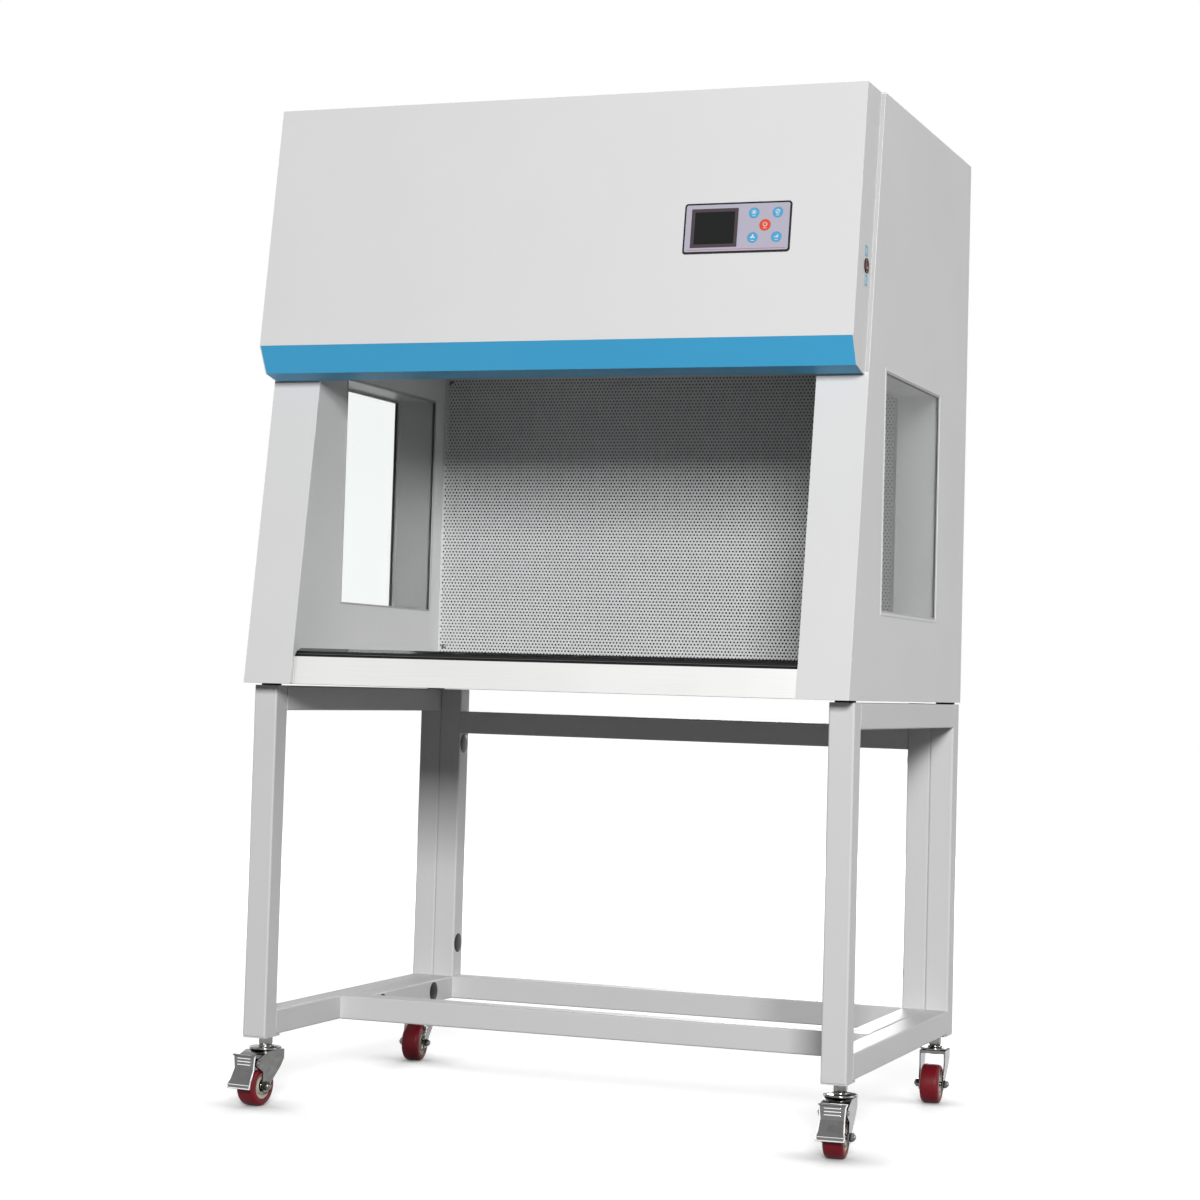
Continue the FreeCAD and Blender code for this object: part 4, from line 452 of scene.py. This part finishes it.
# The worktop's nose starts at the top of the apron, with a steep step and then a shallow slope.
APRON_TOP, NOSE_REAR = 721.6, -300
SHALLOW = 0.8


def nose_face(middle, way):
    """The worktop's sloped faces between the apron and the top of its nose."""
    return middle.y < NOSE_REAR and way.y < -0.1 and way.z > 0.1 and middle.z > APRON_TOP


edged("worktop", 0.5, work=keeping(lambda middle, way: not nose_face(middle, way)))
# The shallow slope, the steep step and the crease line get steel darker than its own colour: painted dark reflection,
# of the shaded upper rear wall on the slope and of the hood's dark lip on the step.
edged("worktop", 0, "nose_steel_painted_reflection", None, keeping(lambda middle, way: nose_face(middle, way) and way.z > SHALLOW),
      "worktop_nose")
edged("worktop", 0, "fold_steel_painted_reflection", None, keeping(lambda middle, way: nose_face(middle, way) and way.z <= SHALLOW),
      "worktop_fold")
LINE_HALF, LINE_RADIUS = 417.4, 0.6
crease = turned("nose_line",
                [(-LINE_HALF, 0), (-LINE_HALF, LINE_RADIUS), (LINE_HALF, LINE_RADIUS), (LINE_HALF, 0)], 12)
settle(crease, "cabinet", "work_steel", (), Matrix.Translation(Vector((0, -358.2, 725.6)) * MM), "nose_steel_painted_reflection")

# Grey strip on the panels' front edges, beside the hood's cheeks: painted shade, darker than the white panel,
# standing in for the shade on the panels' rounded front edges. It lies along the leaning front, from a
# point on it 1236 mm above the floor; the lean is the front's travel back for each millimetre up.
LEAN = 0.14712
for word, side in SIDES:
    x = sorted((side * 494, side * 499.2))
    edge_shade = block(word + "_painted_edge_shade", (x[0], -0.35, -63), (x[1], 0.1, 380))
    on_front = Matrix.Translation(Vector((0, -292.8, 1236)) * MM) @ Matrix.Rotation(-math.atan(LEAN), 4, "X")
    settle(edge_shade, "cabinet", "cabinet_white", (), on_front, "bead_grey")

# Perforated wall: holes 3.4 mm across, 6.22 mm apart in rows 5.6 mm apart, every other row shifted

PITCH = 6.22
ROW = 5.6
COLUMNS = 133
LOWEST = 730.5
HOLE = 1.7
FIELD_ROWS = 30
SHEET_FRONT, SHEET_BACK = 211.3, 212.5


def perforated(name, first, count):
    """Field of holes from one cell: an outline bridged to a hole, then repeated across and up."""
    x = -(COLUMNS - 0.5) / 2 * PITCH
    z = LOWEST + first * ROW
    bpy.ops.object.select_all(action="DESELECT")
    bpy.ops.mesh.primitive_plane_add(size=1, location=(x * MM, SHEET_FRONT * MM, z * MM),
                                     rotation=(math.radians(90), 0, 0))
    piece = bpy.context.object
    piece.name = name
    piece.scale = (PITCH * MM, ROW * MM, 1)
    bpy.ops.object.transform_apply(location=True, rotation=True, scale=True)
    bpy.ops.object.mode_set(mode="EDIT")
    bpy.ops.mesh.delete(type="ONLY_FACE")
    pick(piece, "EDGE", lambda middle, way: abs(way.x) > 0.9)
    bpy.ops.mesh.subdivide(number_cuts=1)
    bpy.ops.mesh.primitive_circle_add(vertices=12, radius=HOLE * MM,
                                      location=(x * MM, SHEET_FRONT * MM, z * MM),
                                      rotation=(math.radians(90), 0, 0))
    bpy.ops.mesh.select_mode(type="EDGE")
    bpy.ops.mesh.select_all(action="SELECT")
    bpy.ops.mesh.bridge_edge_loops()
    near = Vector((x, SHEET_FRONT, z))
    pick(piece, "EDGE", lambda middle, way: (middle - near).length < HOLE + 0.02)
    bpy.ops.mesh.extrude_region_move(TRANSFORM_OT_translate={"value": (0, (SHEET_BACK - SHEET_FRONT) * MM, 0)})
    bpy.ops.mesh.select_all(action="SELECT")
    bpy.ops.mesh.normals_make_consistent(inside=False)
    bpy.ops.mesh.duplicate_move(TRANSFORM_OT_translate={"value": (PITCH / 2 * MM, 0, ROW * MM)})
    bpy.ops.object.mode_set(mode="OBJECT")
    for offset, number in (((PITCH * MM, 0, 0), COLUMNS), ((0, 0, 2 * ROW * MM), count // 2)):
        modify(piece, "ARRAY", count=number, use_relative_offset=False, use_constant_offset=True,
               constant_offset_displace=offset, use_merge_vertices=True, merge_threshold=0.00002)
    return settle(piece, "cabinet", "diffuser_white", ["diffuser_panel"])


for i in range(3):
    perforated(f"perforated_field_{i}", i * FIELD_ROWS, FIELD_ROWS)
for name, side, first in (("left", -1, 1), ("right", 1, 0)):
    # Plain half cells that fill the shifted rows up to the border.
    x = side * (COLUMNS + 0.5) * PITCH / 2
    span = sorted((x, x - side * PITCH / 2))
    z = LOWEST + (first - 0.5) * ROW
    fill = block(f"row_ends_{name}", (span[0], SHEET_FRONT, z), (span[1], SHEET_BACK, z + ROW))
    modify(fill, "ARRAY", count=45, use_relative_offset=False, use_constant_offset=True,
           constant_offset_displace=(0, 0, 2 * ROW * MM))
    settle(fill, "cabinet", "diffuser_white", ["diffuser_panel"])


def opened(piece):
    """Cuts the plain middle out of the panel's sheet, so that only its border is left."""
    open_mesh(piece)
    for y, margin in ((211, 3), (212.5, 1.5)):
        pick(piece, "FACE", lambda middle, way: abs(way.y) > 0.9 and abs(middle.y - y) < 0.1)
        bpy.ops.mesh.inset(thickness=margin * MM, depth=0)
        pick(piece, "FACE", lambda middle, way: abs(way.y) > 0.9 and abs(middle.y - y) < 0.1
             and abs(middle.x) < 50 and abs(middle.z - 980) < 50)
        bpy.ops.mesh.delete(type="FACE")
    inner = {"low": 726, "high": 1234}
    for end, move in (("low", 2), ("high", -2.6)):
        pick(piece, "VERT", lambda spot, way: abs(spot.z - inner[end]) < 0.1 and abs(spot.x) < 416)
        bpy.ops.transform.translate(value=(0, 0, move * MM))
    pick(piece, "EDGE", lambda middle, way: 210 < middle.y < 213 and (
        abs(abs(middle.x) - 414.7) < 0.1 or abs(middle.z - 728) < 0.1 or abs(middle.z - 1231.4) < 0.1))
    bpy.ops.mesh.bridge_edge_loops()
    bpy.ops.object.mode_set(mode="OBJECT")


edged("diffuser_panel", 0.3, work=opened)

# Control panel, worked flat about its centre and then laid on the slope

SLOPE = Matrix.Translation(Vector((301.2, -349.5, 1391.2)) * MM) @ Matrix.Rotation(math.radians(81.98), 4, "X")
KEYS = {
    "light_key": (26, 22), "uv_key": (63.6, 22), "power_key": (44.5, 2.3), "fan_key": (26, -17),
    "speed_key": (63.6, -17),
}


def rounded(piece):
    """Rounds the plate's four outer corners."""
    open_mesh(piece)
    pick(piece, "EDGE", lambda middle, way: abs(way.z) > 0.9 and abs(middle.x) > 85 and abs(middle.y) > 39.8)
    bpy.ops.mesh.bevel(offset=5 * MM, segments=6, affect="EDGES")
    bpy.ops.object.mode_set(mode="OBJECT")


def film(piece):
    """Keeps only the plate's front face, drawn in from its edge, and gives it a thin thickness."""
    open_mesh(piece)
    pick(piece, "FACE", lambda middle, way: way.z < 0.9)
    bpy.ops.mesh.delete(type="FACE")
    pick(piece, "VERT", lambda spot, way: abs(spot.x) > 85 or abs(spot.y) > 39.8)
    bpy.ops.transform.resize(value=(1 - 2.8 / 85.25, 1 - 2.8 / 40, 1))
    pick(piece, "VERT", lambda spot, way: abs(spot.x) > 82 and abs(spot.y) > 37)
    bpy.ops.mesh.bevel(offset=3 * MM, segments=5, affect="VERTICES")
    bpy.ops.mesh.select_all(action="SELECT")
    bpy.ops.mesh.extrude_region_move(TRANSFORM_OT_translate={"value": (0, 0, 0.25 * MM)})
    bpy.ops.object.mode_set(mode="OBJECT")


edged("control_panel", 0.4, "black_plastic", SLOPE, rounded)
edged("control_panel", 0, None, SLOPE, film, "control_membrane")
for key in KEYS:
    edged(key, 0.5, None, SLOPE)

pane = block("display_pane", (-68.2, -25.6, 2.2), (-4.2, 25.6, 2.4))
settle(pane, "cabinet", "screen_black", (), SLOPE, "screen_glass")
line = block("red_line", (-78, -34.8, 2.74), (79, -34.1, 2.8))
settle(line, "cabinet", "panel_grey", (), SLOPE, "red_print")


def disc(name, x, y, low, high, radius, sides=32):
    bpy.ops.object.select_all(action="DESELECT")
    bpy.ops.mesh.primitive_cylinder_add(vertices=sides, radius=radius * MM, depth=(high - low) * MM,
                                        location=(x * MM, y * MM, (low + high) / 2 * MM))
    piece = bpy.context.object
    piece.name = name
    bpy.ops.object.transform_apply(location=True, rotation=True, scale=True)
    return piece


def hoop(name, x, y, low, high, radius, wall, gap=0):
    """Flat ring, open at its top by a gap in degrees."""
    piece = disc(name, x, y, low, high, radius)
    open_mesh(piece)
    pick(piece, "FACE", lambda middle, way: abs(way.z) > 0.9)
    bpy.ops.mesh.inset(thickness=wall * MM, depth=0)
    pick(piece, "FACE", lambda middle, way: abs(way.z) > 0.9 and math.hypot(middle.x - x, middle.y - y) < wall)
    bpy.ops.mesh.delete(type="FACE")
    if gap:
        pick(piece, "FACE", lambda middle, way: abs(math.degrees(math.atan2(middle.x - x, middle.y - y))) < gap / 2)
        bpy.ops.mesh.delete(type="FACE")
    bpy.ops.object.mode_set(mode="OBJECT")
    return piece


def strip(name, x, y, low, high, long, wide, angle=0, out=0):
    """Thin bar about a point, turned by an angle and moved out along its own length."""
    piece = block(name, (out - long / 2, -wide / 2, low), (out + long / 2, wide / 2, high))
    piece.matrix_world = Matrix.Translation(Vector((x, y, 0)) * MM) @ Matrix.Rotation(math.radians(angle), 4, "Z")
    alone(piece)
    bpy.ops.object.transform_apply(location=True, rotation=True, scale=True)
    return piece


def joined(name, parts):
    """One piece made of several."""
    bpy.ops.object.select_all(action="DESELECT")
    for part in parts:
        part.select_set(True)
    bpy.context.view_layer.objects.active = parts[0]
    bpy.ops.object.join()
    parts[0].name = name
    return parts[0]


FACE, PRINT = 3.05, 3.16


def symbol(key):
    """White generic sign on a key: lamp, ultraviolet lamp, power, fan or speed."""
    x, y = KEYS[key]
    up = y + 1.2
    if key == "light_key":
        parts = [disc("dot", x, up, FACE, PRINT, 1.5)]
        parts += [strip("ray", x, up, FACE, PRINT, 1.8, 0.9, 45 * i, 3.1) for i in range(8)]
    elif key == "uv_key":
        parts = [hoop("hoop", x, up, FACE, PRINT, 3.6, 0.8), strip("slash", x, up, FACE, PRINT, 5.2, 0.9, 60)]
    elif key == "power_key":
        parts = [hoop("hoop", x, up, FACE, PRINT, 3.5, 0.9, 70),
                 strip("stroke", x, up, FACE, PRINT, 3.2, 0.9, 90, 2.6)]
    elif key == "fan_key":
        parts = [disc("boss", x, up, FACE, PRINT, 1)]
        for i in range(3):
            blade = disc("blade", 2.1, 0, FACE, PRINT, 1.6, 20)
            turn = Matrix.Rotation(math.radians(90 + 120 * i), 4, "Z")
            flat = Matrix.Diagonal((1, 0.75, 1, 1))
            blade.matrix_world = Matrix.Translation(Vector((x, up, 0)) * MM) @ turn @ flat
            alone(blade)
            bpy.ops.object.transform_apply(location=True, rotation=True, scale=True)
            parts.append(blade)
    else:
        parts = [strip("step", x + i * 2.2, up - 2.4 + high / 2, FACE, PRINT, 1.3, high)
                 for i, high in ((-1, 1.8), (0, 3.2), (1, 4.8))]
    parts.append(strip("underline", x, y - 4.7, FACE, PRINT, 5.4, 0.7))
    sign = joined(key + "_sign", parts)
    settle(sign, key + "_cap", SLOT_OF[key], (), SLOPE, "white_print")


for key in KEYS:
    symbol(key)

# Signs and marks of the mains switch, on the hood's right cheek

CHEEK = Matrix.Translation(Vector((493.5, -308.3, 1334)) * MM) @ Matrix.Rotation(math.radians(90), 4, "Z") \
    @ Matrix.Rotation(math.radians(90), 4, "X")
for name, height, mark in (("on", 22.5, "bar"), ("off", -22.5, "ring")):
    tag = block(f"switch_{name}_tag", (-8.5, height - 8.5, 0.02), (8.5, height + 8.5, 0.22))
    open_mesh(tag)
    pick(tag, "EDGE", lambda middle, way: abs(way.z) > 0.9)
    bpy.ops.mesh.bevel(offset=1.5 * MM, segments=3, affect="EDGES")
    bpy.ops.object.mode_set(mode="OBJECT")
    settle(tag, "cabinet", "cabinet_white", (), CHEEK, "pale_blue_print")
    if mark == "bar":
        sign = strip("mark", 0, height, 0.2, 0.28, 8, 3.4, 90)
    else:
        sign = hoop("mark", 0, height, 0.2, 0.28, 4.8, 1.6)
    sign.name = f"switch_{name}_mark"
    settle(sign, "cabinet", "cabinet_white", (), CHEEK, "white_print")

# Casters, modelled about the stem with the wheel trailing to the front

CASTERS = (
    ("front_left", -479, -292.7, -7, True), ("front_right", 479, -292.7, 4, True),
    ("rear_left", -479, 326.7, 5, False), ("rear_right", 479, 326.7, 3, False),
)
UP = (0, 0, 1)


def hex_nut(name, axis, place, radius, tall, chamfer):
    """Six-sided nut with its corners chamfered at both ends."""
    bpy.ops.object.select_all(action="DESELECT")
    turn = (0, 0, 0) if axis == "z" else (0, math.radians(90), 0)
    bpy.ops.mesh.primitive_cylinder_add(vertices=6, radius=radius * MM, depth=tall * MM,
                                        location=[value * MM for value in place], rotation=turn)
    piece = bpy.context.object
    piece.name = name
    bpy.ops.object.transform_apply(location=True, rotation=True, scale=True)
    modify(piece, "SUBSURF", subdivision_type="SIMPLE", levels=2, render_levels=2)
    index = "xyz".index(axis)
    open_mesh(piece)
    middle = place[index]
    pick(piece, "VERT", lambda spot, way: abs(spot[index] - middle) > tall / 2 - 0.01
         and Vector([spot[i] - place[i] for i in range(3) if i != index]).length > radius * 0.9)
    sizes = [1 if i == index else 1 - chamfer / radius for i in range(3)]
    bpy.ops.transform.resize(value=sizes, center_override=[value * MM for value in place])
    bpy.ops.object.mode_set(mode="OBJECT")
    return piece


def thread(low, high, radius, pitch):
    """Outline of a screw thread, drawn as rings."""
    points = []
    place = low
    while place < high:
        points += [(place, radius * 0.9), (place + pitch / 2, radius)]
        place += pitch
    return points


tyre = turned("tyre", [(-15.4, 21), (15.4, 21), (16, 21.6), (16, 26.5), (15.5, 28.6), (14.4, 30.6), (12.6, 31.9),
                       (10, 32.5), (0.5, 32.5), (0.25, 32.35), (-0.25, 32.35), (-0.5, 32.5), (-10, 32.5),
                       (-12.6, 31.9), (-14.4, 30.6), (-15.5, 28.6), (-16, 26.5), (-16, 21.6), (-15.4, 21)], 64)
core = turned("core", [(-15, 11), (-15, 13.5), (-11, 14), (-11, 18), (-15, 18.5), (-15, 21), (15, 21), (15, 18.5),
                       (11, 18), (11, 14), (15, 13.5), (15, 11), (8, 11), (8, 6.5), (-8, 6.5), (-8, 11), (-15, 11)])
soften(core, 0.5)
races = [turned("race", [(side * a, r) for a, r in ((8, 11), (8, 4.1), (15, 4.1), (15, 6), (14.4, 6.4), (14.4, 9),
                                                    (15, 9.4), (15, 11), (8, 11))], 40) for side in (-1, 1)]
bearing = joined("bearing", races)
stem = turned("stem", [(79.2, 0), (79.2, 8), (79.8, 9), (81.2, 9), (81.7, 8), (81.7, 5), (87.5, 5), (87.5, 24.6),
                       (87.9, 25.6), (88.6, 26), (90, 26), (90.9, 25.6), (91.3, 24.8), (91, 23), (90.9, 21),
                       (91.6, 18.5), (92.2, 16), (92.3, 13.2), (93.6, 12.9), (94, 12.4), (94, 6)]
              + thread(94, 110, 6, 1.7) + [(111, 5.4), (111.7, 4), (111.7, 0)], 40, UP)
stem = joined("stem_and_nut", [stem, hex_nut("nut", "z", (0, 0, 101.4), 10.9, 14.8, 0.9)])
axle = turned("axle", [(-26, 0), (-26, 4), (26, 4), (26, 0)], 24)
caps = []
for side in (-1, 1):
    caps.append(hex_nut("cap_nut", "x", (side * 23.5, 0, 0), 7.5, 5, 0.6))
    caps.append(turned("cap_dome", [(side * a, r) for a, r in ((25.5, 0), (25.5, 5.9), (26.6, 5.6), (28, 4.6),
                                                               (29.2, 3), (29.8, 1.4), (30, 0))], 24))
axle = joined("axle_and_nuts", [axle] + caps)
rivet = turned("brake_rivet", [(-24, 0), (-24, 1.4), (-23.4, 3), (-22.6, 3.8), (-22, 4), (-22, 2.5), (22, 2.5),
                               (22, 4), (22.6, 3.8), (23.4, 3), (24, 1.4), (24, 0)], 28)


def waisted(piece):
    """Draws in the pedal plate's waist and rounds its folds."""
    open_mesh(piece)
    for low, high, factor in ((78, 85, 0.95), (55, 63, 0.84), (43, 47, 0.9)):
        pick(piece, "VERT", lambda spot, way: abs(spot.x) > 21.5 and low < spot.z < high)
        bpy.ops.transform.resize(value=(factor, 1, 1), center_override=(0, 0, 0))
    pick(piece, "EDGE", lambda middle, way: abs(way.x) > 0.9 and middle.y < -57 and 33 < middle.z < 83)
    bpy.ops.mesh.bevel(offset=2.2 * MM, segments=4, affect="EDGES", clamp_overlap=True)
    bpy.ops.object.mode_set(mode="OBJECT")


def bead(name, points, radius):
    """Rolled edge along a line of points, made of round-ended rods."""
    rods = []
    for first, last in zip(points, points[1:]):
        line = Vector(last) - Vector(first)
        long = line.length
        rod = turned(name, [(-radius, 0), (-radius * 0.7, radius * 0.7), (0, radius), (long, radius),
                            (long + radius * 0.7, radius * 0.7), (long + radius, 0)], 12)
        turn = Vector((1, 0, 0)).rotation_difference(line).to_matrix().to_4x4()
        rod.matrix_world = Matrix.Translation(Vector(first) * MM) @ turn
        alone(rod)
        bpy.ops.object.transform_apply(location=True, rotation=True, scale=True)
        rods.append(rod)
    return joined(name, rods)


EDGE = ((20.3, -59.4, 82.5), (18.2, -59.4, 60), (19.4, -68.4, 44.5), (21.4, -73.4, 37.5), (20.6, -73.6, 32.4))
RIM = EDGE + tuple((-x, y, z) for x, y, z in reversed(EDGE))

for name, x, y, angle, braked in CASTERS:
    spot = Matrix.Translation(Vector((x, y, 0)) * MM) @ Matrix.Rotation(math.radians(angle), 4, "Z")
    wheel = spot @ Matrix.Translation(Vector((0, -26, 32.5)) * MM)
    settle(copy_of(tyre, name + "_tread"), name + "_wheel", "wheel_red", [name + "_tyre"], wheel)
    settle(copy_of(core, name + "_core"), name + "_wheel", "hub_cream", [name + "_hub"], wheel)
    settle(copy_of(bearing, name + "_bearings"), name + "_wheel", "zinc_steel", (), wheel)
    settle(copy_of(axle, name + "_axle_nuts"), name + "_swivel", "zinc_steel", [name + "_axle"], wheel)
    settle(copy_of(stem, name + "_stem"), "cabinet", "zinc_steel", ["caster_stems"],
           Matrix.Translation(Vector((x, y, 0)) * MM))
    edged(name + "_fork", 0.9, None, spot)
    if braked:
        pivot = spot @ Matrix.Translation(Vector((0, -50, 71)) * MM)
        settle(copy_of(rivet, name + "_brake_rivet"), name + "_swivel", "zinc_steel", [name + "_axle"], pivot)
        edged(name + "_brake_pedal", 0.5, None, spot, waisted)
        # The pedal's rolled rim, toe fold and ribs are drawn lighter than the pressing: painted highlight.
        settle(bead(name + "_pedal_rim", RIM, 1.1), name + "_pedal", "pedal_chrome", (), spot, "rim_chrome_painted_highlight")
        fold = bead(name + "_pedal_fold", ((-20, -74, 37.8), (20, -74, 37.8)), 0.7)
        settle(fold, name + "_pedal", "pedal_chrome", (), spot, "rim_chrome_painted_highlight")
        for i in range(3):
            rib = turned(f"{name}_pedal_rib_{i}", [(-13, 0), (-12.6, 0.8), (-11.8, 1.1), (11.8, 1.1), (12.6, 0.8),
                                                   (13, 0)], 16)
            settle(rib, name + "_pedal", "pedal_chrome", (),
                   spot @ Matrix.Translation(Vector((0, -60, 78 - 5 * i)) * MM), "rim_chrome_painted_highlight")
for piece in (tyre, core, bearing, axle, stem, rivet):
    bpy.data.objects.remove(piece)

# Lamps, with metal end caps, and the screws of the panels

for word, y in (("work", -245), ("uv", -200)):
    spot = Matrix.Translation(Vector((0, y, 1212)) * MM)
    tube = turned(word + "_lamp_tube", [(-266, 0), (-266, 7), (-265, 7.6), (-263, 7.9), (263, 7.9), (265, 7.6),
                                        (266, 7), (266, 0)], 40)
    settle(tube, "cabinet", "lamp_glass", [word + "_lamp"], spot)
    for side in (-1, 1):
        cap = turned(f"{word}_lamp_cap_{'left' if side < 0 else 'right'}",
                     [(side * a, r) for a, r in ((262, 0), (262, 7.9), (262.5, 8), (278, 8), (279.6, 7.4), (280, 6.5),
                                                 (280, 0))], 40)
        settle(cap, "cabinet", "trim_bright", (), spot)

head = turned("screw_head", [(0, 0), (0, 4), (-0.5, 3.95), (-1.1, 3.6), (-1.6, 2.8), (-1.9, 1.6), (-2, 0)], 32,
              (0, 1, 0))
slots = [block("slot", (-2.1, -3, -0.4), (2.1, -1, 0.4)), block("slot", (-0.4, -3, -2.1), (0.4, -1, 2.1))]
for slot in slots:
    modify(head, "BOOLEAN", operation="DIFFERENCE", object=slot, solver="EXACT")
for side in (-1, 1):
    word = "left" if side < 0 else "right"
    for i, z in enumerate((689, 1237, 1603)):
        spot = Matrix.Translation(Vector((side * 406, 375, z)) * MM) @ Matrix.Rotation(math.pi, 4, "Z")
        settle(copy_of(head, f"rear_{word}_screw_{i}"), "cabinet", "zinc_steel", ["panel_screws"], spot)
    for i, z in enumerate((751, 1225)):
        spot = Matrix.Translation(Vector((side * 406, 211, z)) * MM)
        settle(copy_of(head, f"diffuser_{word}_screw_{i}"), "cabinet", "zinc_steel", ["panel_screws"], spot)
for piece in [head] + slots:
    bpy.data.objects.remove(piece)

# Nodes that keep their own mesh

for node in frame["nodes"].values():
    slot = SLOT_OF[node["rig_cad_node"]]
    node.data.materials.clear()
    node.data.materials.append(FINISH[slot])

# Floor, lights and camera


def seen_white(tree):
    """One for camera, glossy and transmitted rays before any diffuse bounce, nought for all others."""
    rays = add(tree, "LightPath").outputs
    seen = add(tree, "Math", {0: rays["Is Camera Ray"], 1: rays["Is Glossy Ray"]}, operation="MAXIMUM")
    seen = add(tree, "Math", {0: seen.outputs[0], 1: rays["Is Transmission Ray"]}, operation="MAXIMUM")
    direct = add(tree, "Math", {0: rays["Diffuse Depth"], 1: 0.5}, operation="LESS_THAN")
    return add(tree, "Math", {0: seen.outputs[0], 1: direct.outputs[0]}, operation="MULTIPLY")


bpy.ops.object.select_all(action="DESELECT")
bpy.ops.mesh.primitive_plane_add(size=60, location=(0, 0, 0))
floor = bpy.context.object
floor.name = "floor"
# Seamless white paper: the camera sees it white. It glows less near the stand, so that the lamps' shadows
# show there, and its glow is darkened within 90 mm of the wheels: a painted contact shadow.
paper, tree, shader = start("white_backdrop_paper", {"Roughness": 0.9})
place = add(tree, "TexCoord").outputs["Object"]
reach = add(tree, "VectorMath", {0: place}, operation="LENGTH").outputs["Value"]
level = add(tree, "MapRange", {"Value": reach, "From Min": 1, "From Max": 4, "To Min": 0.56, "To Max": 1.0})
seen = seen_white(tree)
painted_contact_shadow = add(tree, "AmbientOcclusion", {"Distance": 0.09}, samples=8).outputs["AO"]
painted_contact_shadow = add(tree, "Math", {0: painted_contact_shadow, 1: 2.0}, operation="POWER").outputs[0]
level = add(tree, "Math", {0: level.outputs[0], 1: painted_contact_shadow}, operation="MULTIPLY")
tone = add(tree, "Mix", {0: seen.outputs[0], 6: srgb("#585858"), 7: srgb("#F2F2F2")}, data_type="RGBA")
strength = add(tree, "Math", {0: seen.outputs[0], 1: level.outputs[0]}, operation="MULTIPLY")
glow = add(tree, "Emission", {"Color": srgb("#FFFFFF"), "Strength": strength.outputs[0]})
both = add(tree, "AddShader", {0: shader.outputs[0], 1: glow.outputs[0]})
tree.links.new(tone.outputs[2], shader.inputs["Base Color"])
tree.links.new(both.outputs[0], tree.nodes["Material Output"].inputs["Surface"])
floor.data.materials.append(paper)

world = bpy.data.worlds.new("studio")
bpy.context.scene.world = world
world.use_nodes = True
tree = world.node_tree
seen = seen_white(tree)
level = add(tree, "MapRange", {"Value": seen.outputs[0], "To Min": 0.03, "To Max": 1})
tree.links.new(level.outputs[0], tree.nodes["Background"].inputs["Strength"])
tree.nodes["Background"].inputs["Color"].default_value = srgb("#FFFFFF")


def softbox(name, place, target, size, power):
    lamp = bpy.data.lights.new(name, "AREA")
    lamp.size = size
    lamp.energy = power
    made = bpy.data.objects.new(name, lamp)
    bpy.context.collection.objects.link(made)
    made.location = place
    made.rotation_euler = (Vector(target) - Vector(place)).to_track_quat("-Z", "Y").to_euler()
    return made


softbox("key_softbox", (3.1, -8.2, 3.4), (0, 0, 0.9), 2, 700)
softbox("side_softbox", (7, 0.8, 1.8), (0, 0, 1), 3.2, 115)
softbox("left_softbox", (-6.4, 3.2, 2.2), (0, 0, 1), 3, 150)
softbox("rear_softbox", (-0.8, 7, 2.4), (0, 0, 1), 3, 190)

lens = bpy.data.cameras.new("camera")
lens.sensor_width = 36
lens.lens = 2717.4 / 1200 * 36
lens.shift_x = 0.0224
lens.shift_y = -0.0648
camera = bpy.data.objects.new("camera", lens)
bpy.context.collection.objects.link(camera)
round_, tilt, roll = (math.radians(value) for value in (20.716, -3.414, 1.670))
back = Vector((math.sin(round_) * math.cos(tilt), -math.cos(round_) * math.cos(tilt), math.sin(tilt)))
level_x = Vector((0, 0, 1)).cross(back).normalized()
level_y = back.cross(level_x)
right = level_x * math.cos(roll) + level_y * math.sin(roll)
up = level_y * math.cos(roll) - level_x * math.sin(roll)
camera.matrix_world = Matrix.Translation((1.5326, -4.2763, 0.6893)) @ Matrix((right, up, back)).transposed().to_4x4()
bpy.context.scene.camera = camera
bpy.context.scene.view_settings.view_transform = "Standard"
